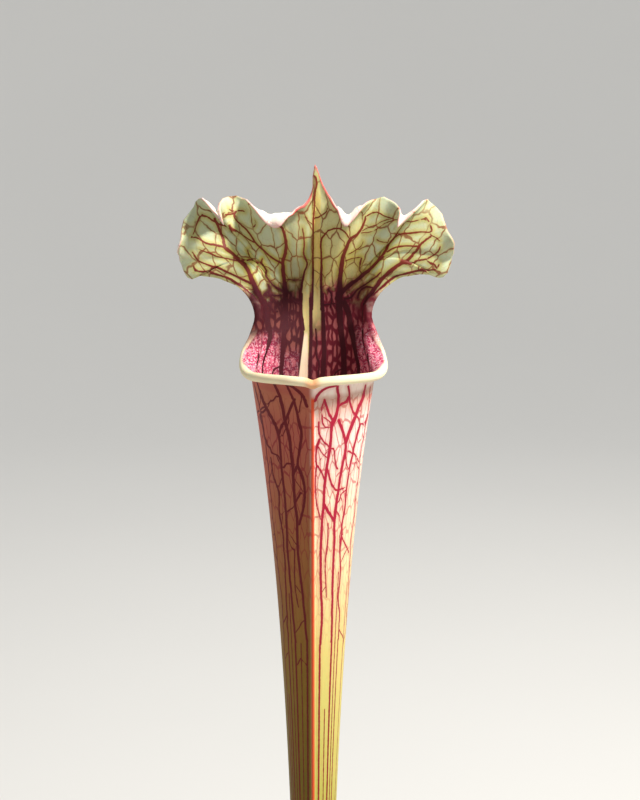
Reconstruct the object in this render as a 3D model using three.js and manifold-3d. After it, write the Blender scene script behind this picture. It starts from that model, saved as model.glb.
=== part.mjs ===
// Pitcher plant in a round nursery pot.
// Millimetres, +Z up, origin at the middle of the pot's underside, the plant's front towards -Y.
import * as THREE from "three";
import { mergeVertices } from "three/addons/utils/BufferGeometryUtils.js";
import Module from "manifold-3d";

const wasm = await Module();
wasm.setup();
const { Manifold, Mesh: SolidMesh } = wasm;

// Clearance between pieces that touch
const GAP = 0.3;

// Pot
const POT_HEIGHT = 115;
const POT_BASE_RADIUS = 46;
const POT_BAND_FOOT_RADIUS = 58.5;
const POT_BAND_RADIUS = 61.2;
const POT_RIM_RADIUS = 65;
const POT_WALL = 1.8;
const POT_FLOOR = 2.4;
const POT_BAND_Z = 99;
const POT_STEP_RISE = 2;
const POT_SEGMENTS = 36;
const DRAIN_HOLES = 6;
const DRAIN_RADIUS = 4;
const DRAIN_CIRCLE_RADIUS = 31;

// Potting mix
const MIX_TOP = 97;
const MIX_CROWN_RISE = 3;
const MIX_CROWN_SPREAD = 34;
const MIX_HILL = 0.9;
const MIX_LEVEL_RADIUS = 12;
const MIX_BRIM_RADII = [50, 56];
const MIX_RINGS = 6;
const MIX_SEGMENTS = 32;
const MIX_SIDE_ROWS = 4;

// Rhizome, lying under the leaves, with its roots and the stubs of old leaves
const RHIZOME_CENTRE = [1, 4, 93];
const RHIZOME_HALF_LENGTH = 36;
const RHIZOME_RADIUS = 8.4;
const RHIZOME_RIDGE = 0.4;
const RHIZOME_RIDGES = 6;
const RHIZOME_TURN = 12;
const RHIZOME_ROWS = 18;
const RHIZOME_SIDES = 12;
const ROOT_RADIUS = 1.4;
const ROOT_TIP_RADIUS = 0.6;
// Each root: where it leaves along the rhizome (-1 to 1), its heading, its reach and its depth
const ROOTS = [
  [-0.8, 205, 16, 52],
  [-0.4, 280, 26, 64],
  [0, 100, 24, 70],
  [0.4, 255, 22, 58],
  [0.8, 350, 12, 48],
];
// Each stub: where it stands along the rhizome, its lean in degrees towards the back, its height
const STUBS = [
  [-0.86, 14, 7],
  [0.88, -12, 6],
];
const STUB_RADIUS = 3.2;
const ROOT_ROWS = 6;
const ROOT_SIDES = 5;

// Tube of a full-grown pitcher, width across = petiole + flare * exp(-depth / flare length)
const LEAF_BASE_Z = 96;
const LIP_HEIGHT = 285;
const PETIOLE_WIDTH = 7.4;
const FLARE_WIDTH = 36.3;
const FLARE_LENGTH = 120;
const TUBE_DEPTH_SHARE = 0.93;
const KEEL_SHARE = 0.16;
const KEEL_SPREAD = 0.55;
const TUBE_WALL = 1.2;
const HOOD_WALL = 1.0;
const CAVITY_FLOOR = 28;
const WING_HEIGHT = 5;
const WING_INNER_DEG = 2.1;
const WING_OUTER_DEG = 3.6;
const WING_SHOULDER = 0.86;
const WING_FOOT_SHARE = 0.35;
const WING_TOP_SHARE = 0.5;
const WING_FULL_AT = 0.3;
const WING_RUNOUT = 16;

// Mouth and neck of the hood
const LIP_HALF_WIDTH = 27.6;
const MOUTH_DROP = 7;
const MOUTH_RISE = 6;
const NECK_HEIGHT = 18;
const NECK_HALF_WIDTH = 22.6;
const NECK_DEPTH = 15.5;
const NECK_BACK = 9.3;
const NECK_EDGE_DEG = 98;
const NECK_ARC_DEG = 104;
const NECK_SPACING = 1.7;
const NECK_EDGE_HEIGHT = 10;
const FAN_CENTRE = 4;
const NECK_LEAN = 0.23;
// Degrees from the front between which the lip ends, and between which neck and hood begin
const LIP_ENDS = [80, 97];
const NECK_BEGINS = [84, 108];
const FAN_BEGINS = [99, 112];
const HOOD_BEGINS = [100, 112];
// Window, in degrees, that evens out the short waves of the margin
const CALM_SPREAD = 5;
const CALM_REACH = 11;
const CALM_STEPS = 11;
// Extra share of a margin's length that a strip costs where the margin stands still
const STRIP_COST = 0.12;
const TUBE_COLUMN_DEG = 8;

// Margin of the pitcher, all round: the place on the mouth a strip of leaf starts from (degrees
// from the front), the outermost point it reaches (x, y and z over the lip), the roll of its edge
// in degrees (plus is inwards) and the length of the rolled strip.
const MARGIN = [
  [0, 0, -28.8, 0.4, -215, 5],
  [6, 2.6, -28.8, 1.2, -215, 5],
  [20, 9.2, -27, 1.6, -215, 5],
  [45, 19.2, -19.4, 1.3, -215, 5],
  [66, 25.2, -9.2, 1.0, -215, 5],
  [80, 27.5, 0.3, 2.8, -210, 5],
  [88, 27.8, 6.6, 6.4, -190, 4.6],
  [93, 26.4, 9.5, 11, -150, 4],
  [98, 23.8, 11.5, 18, -100, 3],
  [101, 24, 12.5, 22.8, -70, 2.6],
  [104, 27, 13.5, 26.9, -40, 2.6],
  [108, 32.9, 14.5, 31.9, -30, 3],
  [111, 38.3, 14, 33.9, -20, 3],
  [114, 43.8, 13.5, 34.4, -15, 4],
  [117, 48.4, 13, 33, -25, 4.5],
  [121, 51.7, 13.5, 40.3, -30, 7],
  [125, 51.6, 12.5, 46.5, 50, 7],
  [128, 49.6, 14, 50.6, 10, 7],
  [131, 47.4, 16, 56.7, -30, 8],
  [134.5, 42.8, 17.5, 61.4, -45, 8],
  [138, 38.6, 15.5, 59.2, 30, 9],
  [141, 32.8, 14.5, 55.3, 100, 9],
  [145, 31.6, 15.5, 59.4, 40, 9],
  [149, 26.4, 19.5, 61.9, -40, 9],
  [153, 21.3, 20, 61, 10, 9],
  [157, 16.8, 17.5, 59, 70, 9],
  [161, 12.7, 16, 56, 110, 9],
  [165, 9.7, 17, 58.2, 70, 8],
  [169, 7.1, 18.5, 61.2, 30, 7],
  [173.5, 3.7, 18.5, 67, 10, 6],
  [180, 0.7, 18, 74.3, 0, 5],
  [186, -3.1, 18.5, 66.5, 10, 6],
  [190.5, -5, 18.5, 61.4, 20, 7],
  [196, -8.4, 17, 57.9, 60, 8],
  [201, -13.1, 16, 56.3, 100, 9],
  [206, -19.3, 17, 57.5, 90, 9],
  [209.5, -25.1, 19.5, 61.4, 20, 9],
  [212.5, -30.1, 20, 62.5, -45, 9],
  [216, -34.5, 18.5, 61.2, 10, 9],
  [219, -34.9, 15, 56.8, 100, 9],
  [222, -39.7, 17, 61.5, 20, 8],
  [225, -42.6, 17.5, 61.3, -40, 8],
  [230, -47.9, 16, 53.7, -20, 7],
  [234, -49.1, 13, 45.7, 60, 7],
  [238, -49.3, 14, 39, -10, 7],
  [243, -46.1, 13, 32.6, -25, 4.5],
  [246.5, -42.3, 13.5, 32.9, -15, 4],
  [250, -36.7, 14, 31.6, -20, 3],
  [254, -29.9, 13.8, 28.8, -30, 2.6],
  [258, -24.9, 12.5, 23.8, -70, 2.6],
  [262, -23.8, 11.5, 18, -100, 3],
  [267, -26.2, 9.5, 12, -150, 4],
  [272, -28, 6.6, 6.6, -190, 4.6],
  [280, -28.2, 0.3, 2.8, -210, 5],
  [294, -25.6, -9.2, 1.0, -215, 5],
  [315, -19.4, -19.4, 1.3, -215, 5],
  [340, -9.4, -27, 1.6, -215, 5],
  [354, -2.6, -28.8, 1.2, -215, 5],
];

// Course of the strips over the neck: degrees from the front, how far the end of the strip dips
// under the line of the fan, and how far the strip bows out on its way
const COURSE = [
  [0, 0, 0.9],
  [98, 8, 0.9],
  [104, -9, 1.02],
  [108, 55, 1.39],
  [112, 57, 1.8],
  [114.5, 65, 1.89],
  [117.5, 54, 1.87],
  [121, 47, 1.58],
  [126, 32, 1.45],
  [134, 8, 1.23],
  [145, 0, 0.9],
  [180, 0, 0.9],
];

// Leaves: place of the foot, turn about the vertical, size of mouth and hood against the tallest
const TALL = {
  name: "pitcher_tall", x: 0, y: 0, turn: 0, lean: 0, lip: LIP_HEIGHT, size: 1, ruffle: 1,
  lipFlare: 1, lipRoll: 1,
  wall: TUBE_WALL, hood: HOOD_WALL, columns: 70, tubeRows: 10, upRows: 10, rollRows: 5,
};
const YOUNG_RIGHT = {
  name: "pitcher_young_right", x: 17, y: 8, turn: 68, lean: 26, lip: 80, size: 0.42, ruffle: 0.35,
  lipFlare: 1.14, lipRoll: 0.6,
  wall: 0.8, hood: 0.62, columns: 35, tubeRows: 7, upRows: 7, rollRows: 3,
};
const YOUNG_LEFT = {
  name: "pitcher_young_left", x: -17.5, y: 0, turn: -58, lean: 24, lip: 66, size: 0.38, ruffle: 0.35,
  lipFlare: 1.16, lipRoll: 0.6,
  wall: 0.8, hood: 0.62, columns: 35, tubeRows: 7, upRows: 7, rollRows: 3,
};
const PITCHERS = [TALL, YOUNG_RIGHT, YOUNG_LEFT];
const FOOT_ROWS = 4;

// Flat leaves and the closed pitcher: foot, heading and length of the lean, height, half width and
// half thickness over the height, from the foot up
const BLADE_SHAPE = [
  [0, 3, 1.9],
  [0.1, 3.2, 1.7],
  [0.25, 4.8, 1.3],
  [0.5, 6.2, 1.1],
  [0.75, 5, 0.9],
  [0.92, 2.4, 0.7],
  [1, 0.7, 0.5],
];
const BUD_SHAPE = [
  [0, 2.6, 2.6],
  [0.15, 2.7, 2.7],
  [0.45, 3.8, 3.6],
  [0.7, 5.6, 5],
  [0.84, 5.4, 4.2],
  [0.94, 3, 2],
  [1, 0.8, 0.7],
];
const BLADE_BACK = {
  name: "flat_leaf_back", x: 8.5, y: 8.5, turn: -40, heading: 50, lean: 28, height: 100,
  shape: BLADE_SHAPE,
};
const BLADE_LEFT = {
  name: "flat_leaf_left", x: -26, y: -2.5, turn: 60, heading: 150, lean: 32, height: 78,
  shape: BLADE_SHAPE,
};
const BLADE_RIGHT = {
  name: "flat_leaf_right", x: 26, y: 9.5, turn: 82, heading: -5, lean: 34, height: 72,
  shape: BLADE_SHAPE,
};
const BUD = {
  name: "pitcher_bud", x: -9.5, y: 4.5, turn: 10, heading: 120, lean: 9, height: 88,
  shape: BUD_SHAPE,
};
const SPEARS = [BLADE_BACK, BLADE_LEFT, BLADE_RIGHT, BUD];
const SPEAR_ROWS = 11;
const SPEAR_SIDES = 10;

const radians = THREE.MathUtils.degToRad;

function smooth(from, to, at) {
  return THREE.MathUtils.smoothstep(at, from, to);
}

function mix(a, b, share) {
  return a + (b - a) * share;
}

function unit(v) {
  return v.clone().normalize();
}

// Smooth curve through the rows of a table, closed round 360 degrees; column 0 is the angle
function alongMargin(table, degrees) {
  const n = table.length;
  const a = ((degrees % 360) + 360) % 360;
  let i = n - 1;
  while (table[i][0] > a) {
    i -= 1;
  }
  const row = (k) => table[((k % n) + n) % n];
  const angle = (k) => row(k)[0] + 360 * Math.floor(k / n);
  const h = angle(i + 1) - angle(i);
  const u = (a - angle(i)) / h;
  const slope = (k, c) => (row(k + 1)[c] - row(k - 1)[c]) / (angle(k + 1) - angle(k - 1));
  return [1, 2, 3, 4, 5].map((c) => {
    const from = row(i)[c] * (2 * u ** 3 - 3 * u ** 2 + 1) + h * slope(i, c) * (u ** 3 - 2 * u ** 2 + u);
    const to = row(i + 1)[c] * (3 * u ** 2 - 2 * u ** 3) + h * slope(i + 1, c) * (u ** 3 - u ** 2);
    return from + to;
  });
}

// The margin without its short waves
function calmMargin(degrees) {
  const sum = [0, 0, 0];
  let weight = 0;
  for (let k = -CALM_STEPS; k <= CALM_STEPS; k += 1) {
    const off = (CALM_REACH * k) / CALM_STEPS;
    const w = Math.exp(-0.5 * (off / CALM_SPREAD) ** 2);
    const at = alongMargin(MARGIN, degrees + off);
    sum.forEach((_, c) => {
      sum[c] += w * at[c];
    });
    weight += w;
  }
  return sum.map((s) => s / weight);
}

// Dip and bow of the strip at an angle from the front
function course(fold) {
  const i = Math.max(COURSE.findIndex((row) => row[0] >= fold), 1);
  const [from, to] = [COURSE[i - 1], COURSE[i]];
  const share = (fold - from[0]) / (to[0] - from[0]);
  return [radians(mix(from[1], to[1], share)), mix(from[2], to[2], share)];
}

function hermite(a, b, ta, tb, u) {
  const p = a.clone().multiplyScalar(2 * u ** 3 - 3 * u ** 2 + 1);
  p.addScaledVector(ta, u ** 3 - 2 * u ** 2 + u);
  p.addScaledVector(b, 3 * u ** 2 - 2 * u ** 3);
  p.addScaledVector(tb, u ** 3 - u ** 2);
  return p;
}

// Width of the tube at a depth below the mouth
function tubeWidth(leaf, depth) {
  const length = FLARE_LENGTH * (leaf.lip / LIP_HEIGHT);
  const petiole = PETIOLE_WIDTH * mix(0.75, 1, (leaf.size - 0.4) / 0.6);
  const mouth = (PETIOLE_WIDTH + FLARE_WIDTH) * leaf.size;
  return petiole + (mouth - petiole) * Math.exp(-Math.max(depth, 0) / length);
}

// The strips of the wing keep their distance in millimetres down the tube, the others share the rest
function columnAngle(leaf, degrees, width) {
  const signed = degrees > 180 ? degrees - 360 : degrees;
  const wingEdge = WING_OUTER_DEG * (tubeWidth(leaf, 0) / width);
  const fold = Math.abs(signed);
  const inWing = (fold / WING_OUTER_DEG) * wingEdge;
  const beyond = 180 - ((180 - fold) * (180 - wingEdge)) / (180 - WING_OUTER_DEG);
  return radians(Math.sign(signed) * (fold < WING_OUTER_DEG ? inWing : beyond));
}

function tubePoint(leaf, degrees, z, depth) {
  const width = tubeWidth(leaf, depth);
  const phi = columnAngle(leaf, degrees, width);
  const r = width / 2;
  const keel = Math.exp(-((Math.abs(phi) / KEEL_SPREAD) ** 1.3));
  return new THREE.Vector3(r * Math.sin(phi), -r * (TUBE_DEPTH_SHARE * Math.cos(phi) + KEEL_SHARE * keel), z);
}

// One strip of leaf, from the foot up the tube, over the neck to the margin and round its roll
function meridian(leaf, degrees) {
  const fold = Math.min(degrees, 360 - degrees);
  const side = degrees <= 180 ? 1 : -1;
  const phi = radians(degrees);
  const up = new THREE.Vector3(0, 0, leaf.lip);
  const [ex, ey, ez, rollDeg, stripLength] = alongMargin(MARGIN, degrees);
  const lipShare = 1 - smooth(...LIP_ENDS, fold);
  const flare = mix(1, leaf.lipFlare, lipShare);
  const end = new THREE.Vector3(ex * flare, ey * flare, ez).multiplyScalar(leaf.size).add(up);
  const hoodShare = smooth(...HOOD_BEGINS, fold);
  const calm = new THREE.Vector3(...calmMargin(degrees)).multiplyScalar(leaf.size).add(up);
  const calmEnd = end.clone().lerp(calm, hoodShare);
  const roll = radians(rollDeg) * mix(leaf.ruffle, leaf.lipRoll, lipShare);
  const strip = stripLength * mix(leaf.size, Math.max(leaf.size, 0.6), lipShare);
  const drop = MOUTH_DROP * leaf.size;
  const mouthZ = leaf.lip - drop + MOUTH_RISE * leaf.size * 0.5 * (1 - Math.cos(phi));

  const points = [];
  for (let k = 0; k < leaf.tubeRows; k += 1) {
    const z = (mouthZ * k) / leaf.tubeRows;
    points.push(tubePoint(leaf, degrees, z, mouthZ - z));
  }
  const mouth = tubePoint(leaf, degrees, mouthZ, 0);
  const riseOut = unit(mouth.clone().sub(tubePoint(leaf, degrees, mouthZ - 3, 3)));

  const lipOut = unit(new THREE.Vector3(Math.sin(phi), -Math.cos(phi), -0.1));
  const neckOut = unit(new THREE.Vector3(0.6 * side, -0.75, 0.25));
  const [dip, bow] = course(fold);
  const fan = Math.atan2(calmEnd.z - leaf.lip - FAN_CENTRE * leaf.size, Math.abs(calmEnd.x)) - dip;
  const fanOut = new THREE.Vector3(side * Math.cos(fan), 0, Math.sin(fan));
  const fanShare = smooth(...FAN_BEGINS, fold);
  const out = unit(neckOut.clone().lerp(fanOut, fanShare).lerp(lipOut, lipShare));
  const across = new THREE.Vector3(-side, -0.6, 0).lerp(new THREE.Vector3(0, -1, 0), fanShare);
  across.lerp(new THREE.Vector3(0, 0, 1), lipShare);
  across.addScaledVector(out, -across.dot(out)).normalize();

  const turn = Math.max(Math.abs(roll), 1e-4);
  const reach = (Math.sin(Math.min(turn, Math.PI / 2)) / turn) * strip;
  const rootOfRoll = end.clone().addScaledVector(out, -reach);
  const calmRoot = calmEnd.clone().addScaledVector(out, -reach);

  const along = Math.max(fold - NECK_EDGE_DEG, 0) / (180 - NECK_EDGE_DEG);
  const psi = radians(mix(NECK_ARC_DEG, 180, 1 - (1 - along) ** NECK_SPACING));
  const neck = new THREE.Vector3(
    side * NECK_HALF_WIDTH * Math.sin(psi),
    NECK_BACK - NECK_DEPTH * Math.cos(psi),
    mix(NECK_EDGE_HEIGHT, NECK_HEIGHT, smooth(NECK_EDGE_DEG, 120, fold)),
  );
  neck.multiplyScalar(leaf.size).add(up);
  const neckShare = smooth(...NECK_BEGINS, fold);
  const whole = calmRoot.distanceTo(mouth);
  const halfway = hermite(mouth, calmRoot, riseOut.clone().multiplyScalar(whole),
    out.clone().multiplyScalar(whole), 0.5);
  neck.lerp(halfway, 1 - neckShare);
  const neckUp = unit(new THREE.Vector3((NECK_LEAN * calmEnd.x) / (LIP_HALF_WIDTH * leaf.size), 0.1, 1));
  const straight = unit(calmRoot.clone().sub(mouth));
  neckUp.lerp(straight, 1 - neckShare).normalize();

  const lowPull = neck.distanceTo(mouth);
  const highPull = calmRoot.distanceTo(neck) * bow;
  const lowRows = Math.max(3, Math.round(leaf.upRows / 3));
  for (let k = 0; k < lowRows; k += 1) {
    points.push(hermite(mouth, neck, riseOut.clone().multiplyScalar(lowPull),
      neckUp.clone().multiplyScalar(lowPull), k / lowRows));
  }
  const wave = rootOfRoll.clone().sub(calmRoot);
  for (let k = 0; k <= leaf.upRows - lowRows; k += 1) {
    const u = k / (leaf.upRows - lowRows);
    const p = hermite(neck, calmRoot, neckUp.clone().multiplyScalar(highPull),
      out.clone().multiplyScalar(highPull), u);
    points.push(p.addScaledVector(wave, u ** 3));
  }
  for (let k = 1; k <= leaf.rollRows; k += 1) {
    const share = k / leaf.rollRows;
    const bend = roll * share;
    const flat = Math.abs(roll) < 1e-3;
    const ahead = flat ? strip * share : (strip * Math.sin(bend)) / roll;
    const over = flat ? 0 : (strip * (1 - Math.cos(bend))) / roll;
    points.push(rootOfRoll.clone().addScaledVector(out, ahead).addScaledVector(across, over));
  }
  return points;
}

// Angles of the strips, closer together where the margin runs fast
function columnAngles(leaf) {
  const fine = 0.25;
  const steps = Math.round(360 / fine);
  const total = [0];
  let last = new THREE.Vector3(...alongMargin(MARGIN, 0).slice(0, 3));
  for (let k = 1; k <= steps; k += 1) {
    const here = new THREE.Vector3(...alongMargin(MARGIN, k * fine).slice(0, 3));
    total.push(total[k - 1] + here.distanceTo(last) + STRIP_COST);
    last = here;
  }
  const angles = [];
  for (let c = 0, k = 0; c < leaf.columns; c += 1) {
    const want = (c * total[steps]) / leaf.columns;
    while (total[k + 1] < want) {
      k += 1;
    }
    angles.push(fine * (k + (want - total[k]) / (total[k + 1] - total[k])));
  }
  const clear = angles.filter((a) => Math.min(a, 360 - a) > WING_OUTER_DEG + 1.5);
  const wing = [0, WING_INNER_DEG, WING_OUTER_DEG];
  return [...wing, ...clear, 360 - WING_OUTER_DEG, 360 - WING_INNER_DEG];
}

// Strips that go on down the tube, spaced wider than in the hood
function tubeColumns(angles) {
  const kept = [0];
  angles.forEach((a, c) => {
    const far = a - angles[kept[kept.length - 1]];
    const front = Math.min(a, 360 - a) <= WING_OUTER_DEG;
    if (c > 0 && (front || far > TUBE_COLUMN_DEG)) {
      kept.push(c);
    }
  });
  return kept;
}

// A point of a leaf, leant forward, turned about the vertical and set on its foot
function placed(leaf, p) {
  const rise = Math.max(p.z, 0) / leaf.lip;
  const q = new THREE.Vector3(p.x, p.y - leaf.lean * rise ** 1.5, p.z);
  q.applyAxisAngle(new THREE.Vector3(0, 0, 1), radians(leaf.turn));
  return q.add(new THREE.Vector3(leaf.x, leaf.y, LEAF_BASE_Z));
}

// Height of the wing over the tube, full at a third of the way up and gone under the lip
function wingHeight(leaf, degrees, z) {
  const fold = Math.min(degrees, 360 - degrees);
  const across = 1 - smooth(WING_INNER_DEG, WING_OUTER_DEG, fold);
  const rounded = fold < WING_INNER_DEG / 2 ? 1 : WING_SHOULDER;
  const top = 1 - smooth(leaf.lip - WING_RUNOUT * leaf.size - 8, leaf.lip - MOUTH_DROP * leaf.size - 2, z);
  const full = WING_FULL_AT * leaf.lip;
  const rise = mix(WING_FOOT_SHARE, 1, smooth(0, full, z));
  const fall = mix(1, WING_TOP_SHARE, smooth(full, leaf.lip, z));
  return WING_HEIGHT * Math.sqrt(leaf.size) * across * rounded * top * rise * fall;
}

// Grid of strips with the outward direction at each point
function leafGrid(leaf) {
  const angles = columnAngles(leaf);
  const strips = angles.map((a) => meridian(leaf, a));
  const n = strips.length;
  const rows = strips[0].length;
  const normals = strips.map((strip, c) => strip.map((_, r) => {
    const round = strips[(c + 1) % n][r].clone().sub(strips[(c + n - 1) % n][r]);
    const upward = strip[Math.min(r + 1, rows - 1)].clone().sub(strip[Math.max(r - 1, 0)]);
    return round.cross(upward).normalize();
  }));
  return { angles, strips, normals, rows };
}

// Points and triangles of one body
class Shell {
  constructor() {
    this.points = [];
    this.faces = [];
  }

  add(p) {
    this.points.push(p.x, p.y, p.z);
    return this.points.length / 3 - 1;
  }

  face(a, b, c, flip) {
    this.faces.push(a, flip ? c : b, flip ? b : c);
  }

  quad(a, b, c, d, flip, other) {
    if (other) {
      this.face(a, b, d, flip);
      this.face(b, c, d, flip);
    } else {
      this.face(a, b, c, flip);
      this.face(a, c, d, flip);
    }
  }

  geometry() {
    const g = new THREE.BufferGeometry();
    g.setAttribute("position", new THREE.Float32BufferAttribute(this.points, 3));
    g.setIndex(this.faces);
    g.computeVertexNormals();
    return g;
  }
}

// Wall thickness over the rows, thinner in the hood
function wallAt(leaf, row) {
  const start = leaf.tubeRows;
  return mix(leaf.wall, leaf.hood, smooth(start, start + leaf.upRows / 2, row)) / 2;
}

function onLeft(angles, c) {
  return angles[c] >= 180;
}

// Rows of one face of a pitcher, added to a shell and stitched; fewer strips run down the tube
function skin(shell, leaf, grid, first, last, offset) {
  const { angles, strips, normals } = grid;
  const n = angles.length;
  const coarse = tubeColumns(angles);
  const all = angles.map((_, c) => c);
  const outside = offset(first) > 0;
  const lines = [];
  for (let r = first; r <= last; r += 1) {
    const line = new Map();
    (r < leaf.tubeRows ? coarse : all).forEach((c) => {
      const p = strips[c][r].clone().addScaledVector(normals[c][r], offset(r));
      if (outside && r <= leaf.tubeRows) {
        p.y -= wingHeight(leaf, angles[c], strips[c][r].z);
      }
      line.set(c, shell.add(placed(leaf, p)));
    });
    lines.push(line);
  }
  lines.slice(1).forEach((upper, r) => {
    const lower = lines[r];
    const keys = [...lower.keys()];
    keys.forEach((a, k) => {
      const b = keys[(k + 1) % keys.length];
      if (lower.size === upper.size) {
        shell.quad(lower.get(a), lower.get(b), upper.get(b), upper.get(a), !outside, onLeft(angles, a));
        return;
      }
      const span = [];
      for (let c = a; c !== b; c = (c + 1) % n) {
        span.push(c);
      }
      span.push(b);
      const middle = Math.floor(span.length / 2);
      for (let i = 0; i < span.length - 1; i += 1) {
        const from = i < middle ? lower.get(a) : lower.get(b);
        shell.face(from, upper.get(span[i + 1]), upper.get(span[i]), !outside);
      }
      shell.face(lower.get(a), lower.get(b), upper.get(span[middle]), !outside);
    });
  });
  return lines;
}

// Fan that closes a line of points
function closeLine(shell, line, centre, flip) {
  const keys = [...line.keys()];
  const middle = shell.add(centre);
  keys.forEach((a, k) => {
    shell.face(line.get(a), middle, line.get(keys[(k + 1) % keys.length]), flip);
  });
}

// Body of a pitcher: outer skin, inner skin down to the cavity's floor, and the margin between them
function pitcherGeometry(leaf) {
  const grid = leafGrid(leaf);
  const { angles, strips, rows } = grid;
  const shell = new Shell();
  const floorRow = Math.ceil((CAVITY_FLOOR * leaf.tubeRows) / LIP_HEIGHT);
  const outer = skin(shell, leaf, grid, 0, rows - 1, (r) => wallAt(leaf, r));
  const inner = skin(shell, leaf, grid, floorRow, rows - 1, (r) => -wallAt(leaf, r));
  const topOut = outer[outer.length - 1];
  const topIn = inner[inner.length - 1];
  angles.forEach((_, a) => {
    const b = (a + 1) % angles.length;
    shell.quad(topOut.get(a), topOut.get(b), topIn.get(b), topIn.get(a), false, onLeft(angles, a));
  });
  closeLine(shell, outer[0], placed(leaf, new THREE.Vector3(0, 0, 0)), false);
  closeLine(shell, inner[0], placed(leaf, new THREE.Vector3(0, 0, strips[0][floorRow].z)), true);
  return shell.geometry();
}

// Foot of a pitcher with the clearance round it, to cut its hole
function pitcherFoot(leaf) {
  const grid = leafGrid(leaf);
  const shell = new Shell();
  const last = Math.ceil(FOOT_ROWS * (leaf.tubeRows / 10));
  grid.strips.forEach((strip, c) => {
    strip[0].z = -GAP;
    if (grid.angles[c] > 0 && Math.min(grid.angles[c], 360 - grid.angles[c]) <= WING_OUTER_DEG) {
      for (let r = 0; r <= last; r += 1) {
        strip[r].x += (grid.angles[c] < 180 ? 1 : -1) * GAP;
      }
    }
  });
  const lines = skin(shell, leaf, grid, 0, last, (r) => wallAt(leaf, r) + GAP);
  closeLine(shell, lines[0], placed(leaf, new THREE.Vector3(0, 0, -GAP)), false);
  closeLine(shell, lines[last], placed(leaf, new THREE.Vector3(0, 0, grid.strips[0][last].z)), true);
  return shell.geometry();
}

// Solid with an oval section carried along a course; shape gives the half sizes at a share of it
function limb(course, shape, rows, sides, across) {
  const shell = new Shell();
  const lines = [];
  for (let r = 0; r <= rows; r += 1) {
    const t = r / rows;
    const here = course(t);
    const ahead = unit(course(Math.min(t + 0.01, 1)).sub(course(Math.max(t - 0.01, 0))));
    const wide = across.clone().addScaledVector(ahead, -across.dot(ahead)).normalize();
    const deep = ahead.clone().cross(wide);
    const [a, b] = shape(t);
    const line = new Map();
    for (let k = 0; k < sides; k += 1) {
      const w = (2 * Math.PI * k) / sides;
      const p = here.clone().addScaledVector(wide, a * Math.cos(w));
      p.addScaledVector(deep, b * Math.sin(w));
      line.set(k, shell.add(p));
    }
    lines.push(line);
  }
  lines.slice(1).forEach((upper, r) => {
    const lower = lines[r];
    for (let k = 0; k < sides; k += 1) {
      const next = (k + 1) % sides;
      shell.quad(lower.get(k), lower.get(next), upper.get(next), upper.get(k), false, false);
    }
  });
  closeLine(shell, lines[0], course(0), false);
  closeLine(shell, lines[rows], course(1), true);
  return shell.geometry();
}

// Half sizes from a shape table, eased half way between straight and rounded steps
function tableAt(table, t) {
  const i = Math.max(table.findIndex((row) => row[0] >= t), 1);
  const [from, to] = [table[i - 1], table[i]];
  const share = smooth(from[0], to[0], t) * 0.5 + (0.5 * (t - from[0])) / (to[0] - from[0]);
  return [mix(from[1], to[1], share), mix(from[2], to[2], share)];
}

// Flat leaf or closed pitcher, made larger all round by grow to cut its hole
function spear(leaf, grow) {
  const heading = radians(leaf.heading);
  const low = grow / leaf.height;
  const course = (t) => {
    const s = mix(-low, 1 + low, t);
    const lean = leaf.lean * Math.max(s, 0) ** 2;
    return new THREE.Vector3(
      leaf.x + lean * Math.cos(heading),
      leaf.y + lean * Math.sin(heading),
      LEAF_BASE_Z + leaf.height * s,
    );
  };
  const shape = (t) => tableAt(leaf.shape, t).map((half) => half + grow);
  const turn = radians(leaf.turn);
  const across = new THREE.Vector3(Math.cos(turn), Math.sin(turn), 0);
  return limb(course, shape, SPEAR_ROWS, SPEAR_SIDES, across);
}

// Solid for cutting and joining, from a closed mesh with its shared vertices merged
function toSolid(geometry) {
  const bare = new THREE.BufferGeometry();
  bare.setAttribute("position", geometry.getAttribute("position").clone());
  bare.setIndex(geometry.index ? [...geometry.index.array] : null);
  const merged = mergeVertices(bare, 1e-4);
  const index = merged.index.array;
  const corners = [];
  for (let i = 0; i < index.length; i += 3) {
    const [a, b, c] = [index[i], index[i + 1], index[i + 2]];
    if (a !== b && b !== c && c !== a) {
      corners.push(a, b, c);
    }
  }
  return new Manifold(new SolidMesh({
    numProp: 3,
    vertProperties: new Float32Array(merged.getAttribute("position").array),
    triVerts: new Uint32Array(corners),
  }));
}

function toGeometry(solid) {
  const mesh = solid.getMesh();
  const g = new THREE.BufferGeometry();
  g.setAttribute("position", new THREE.Float32BufferAttribute([...mesh.vertProperties], 3));
  g.setIndex([...mesh.triVerts]);
  g.computeVertexNormals();
  return g;
}

// Body turned about the vertical from (radius, height) pairs
function turned(profile, segments) {
  const g = new THREE.LatheGeometry(profile.map(([r, z]) => new THREE.Vector2(r, z)), segments);
  g.rotateX(Math.PI / 2);
  return toSolid(g);
}

// Radius of the pot's inner face at a height
function potInside(z) {
  const foot = POT_BASE_RADIUS - POT_WALL;
  return foot + ((POT_BAND_FOOT_RADIUS - POT_BASE_RADIUS) * z) / POT_BAND_Z;
}

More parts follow.
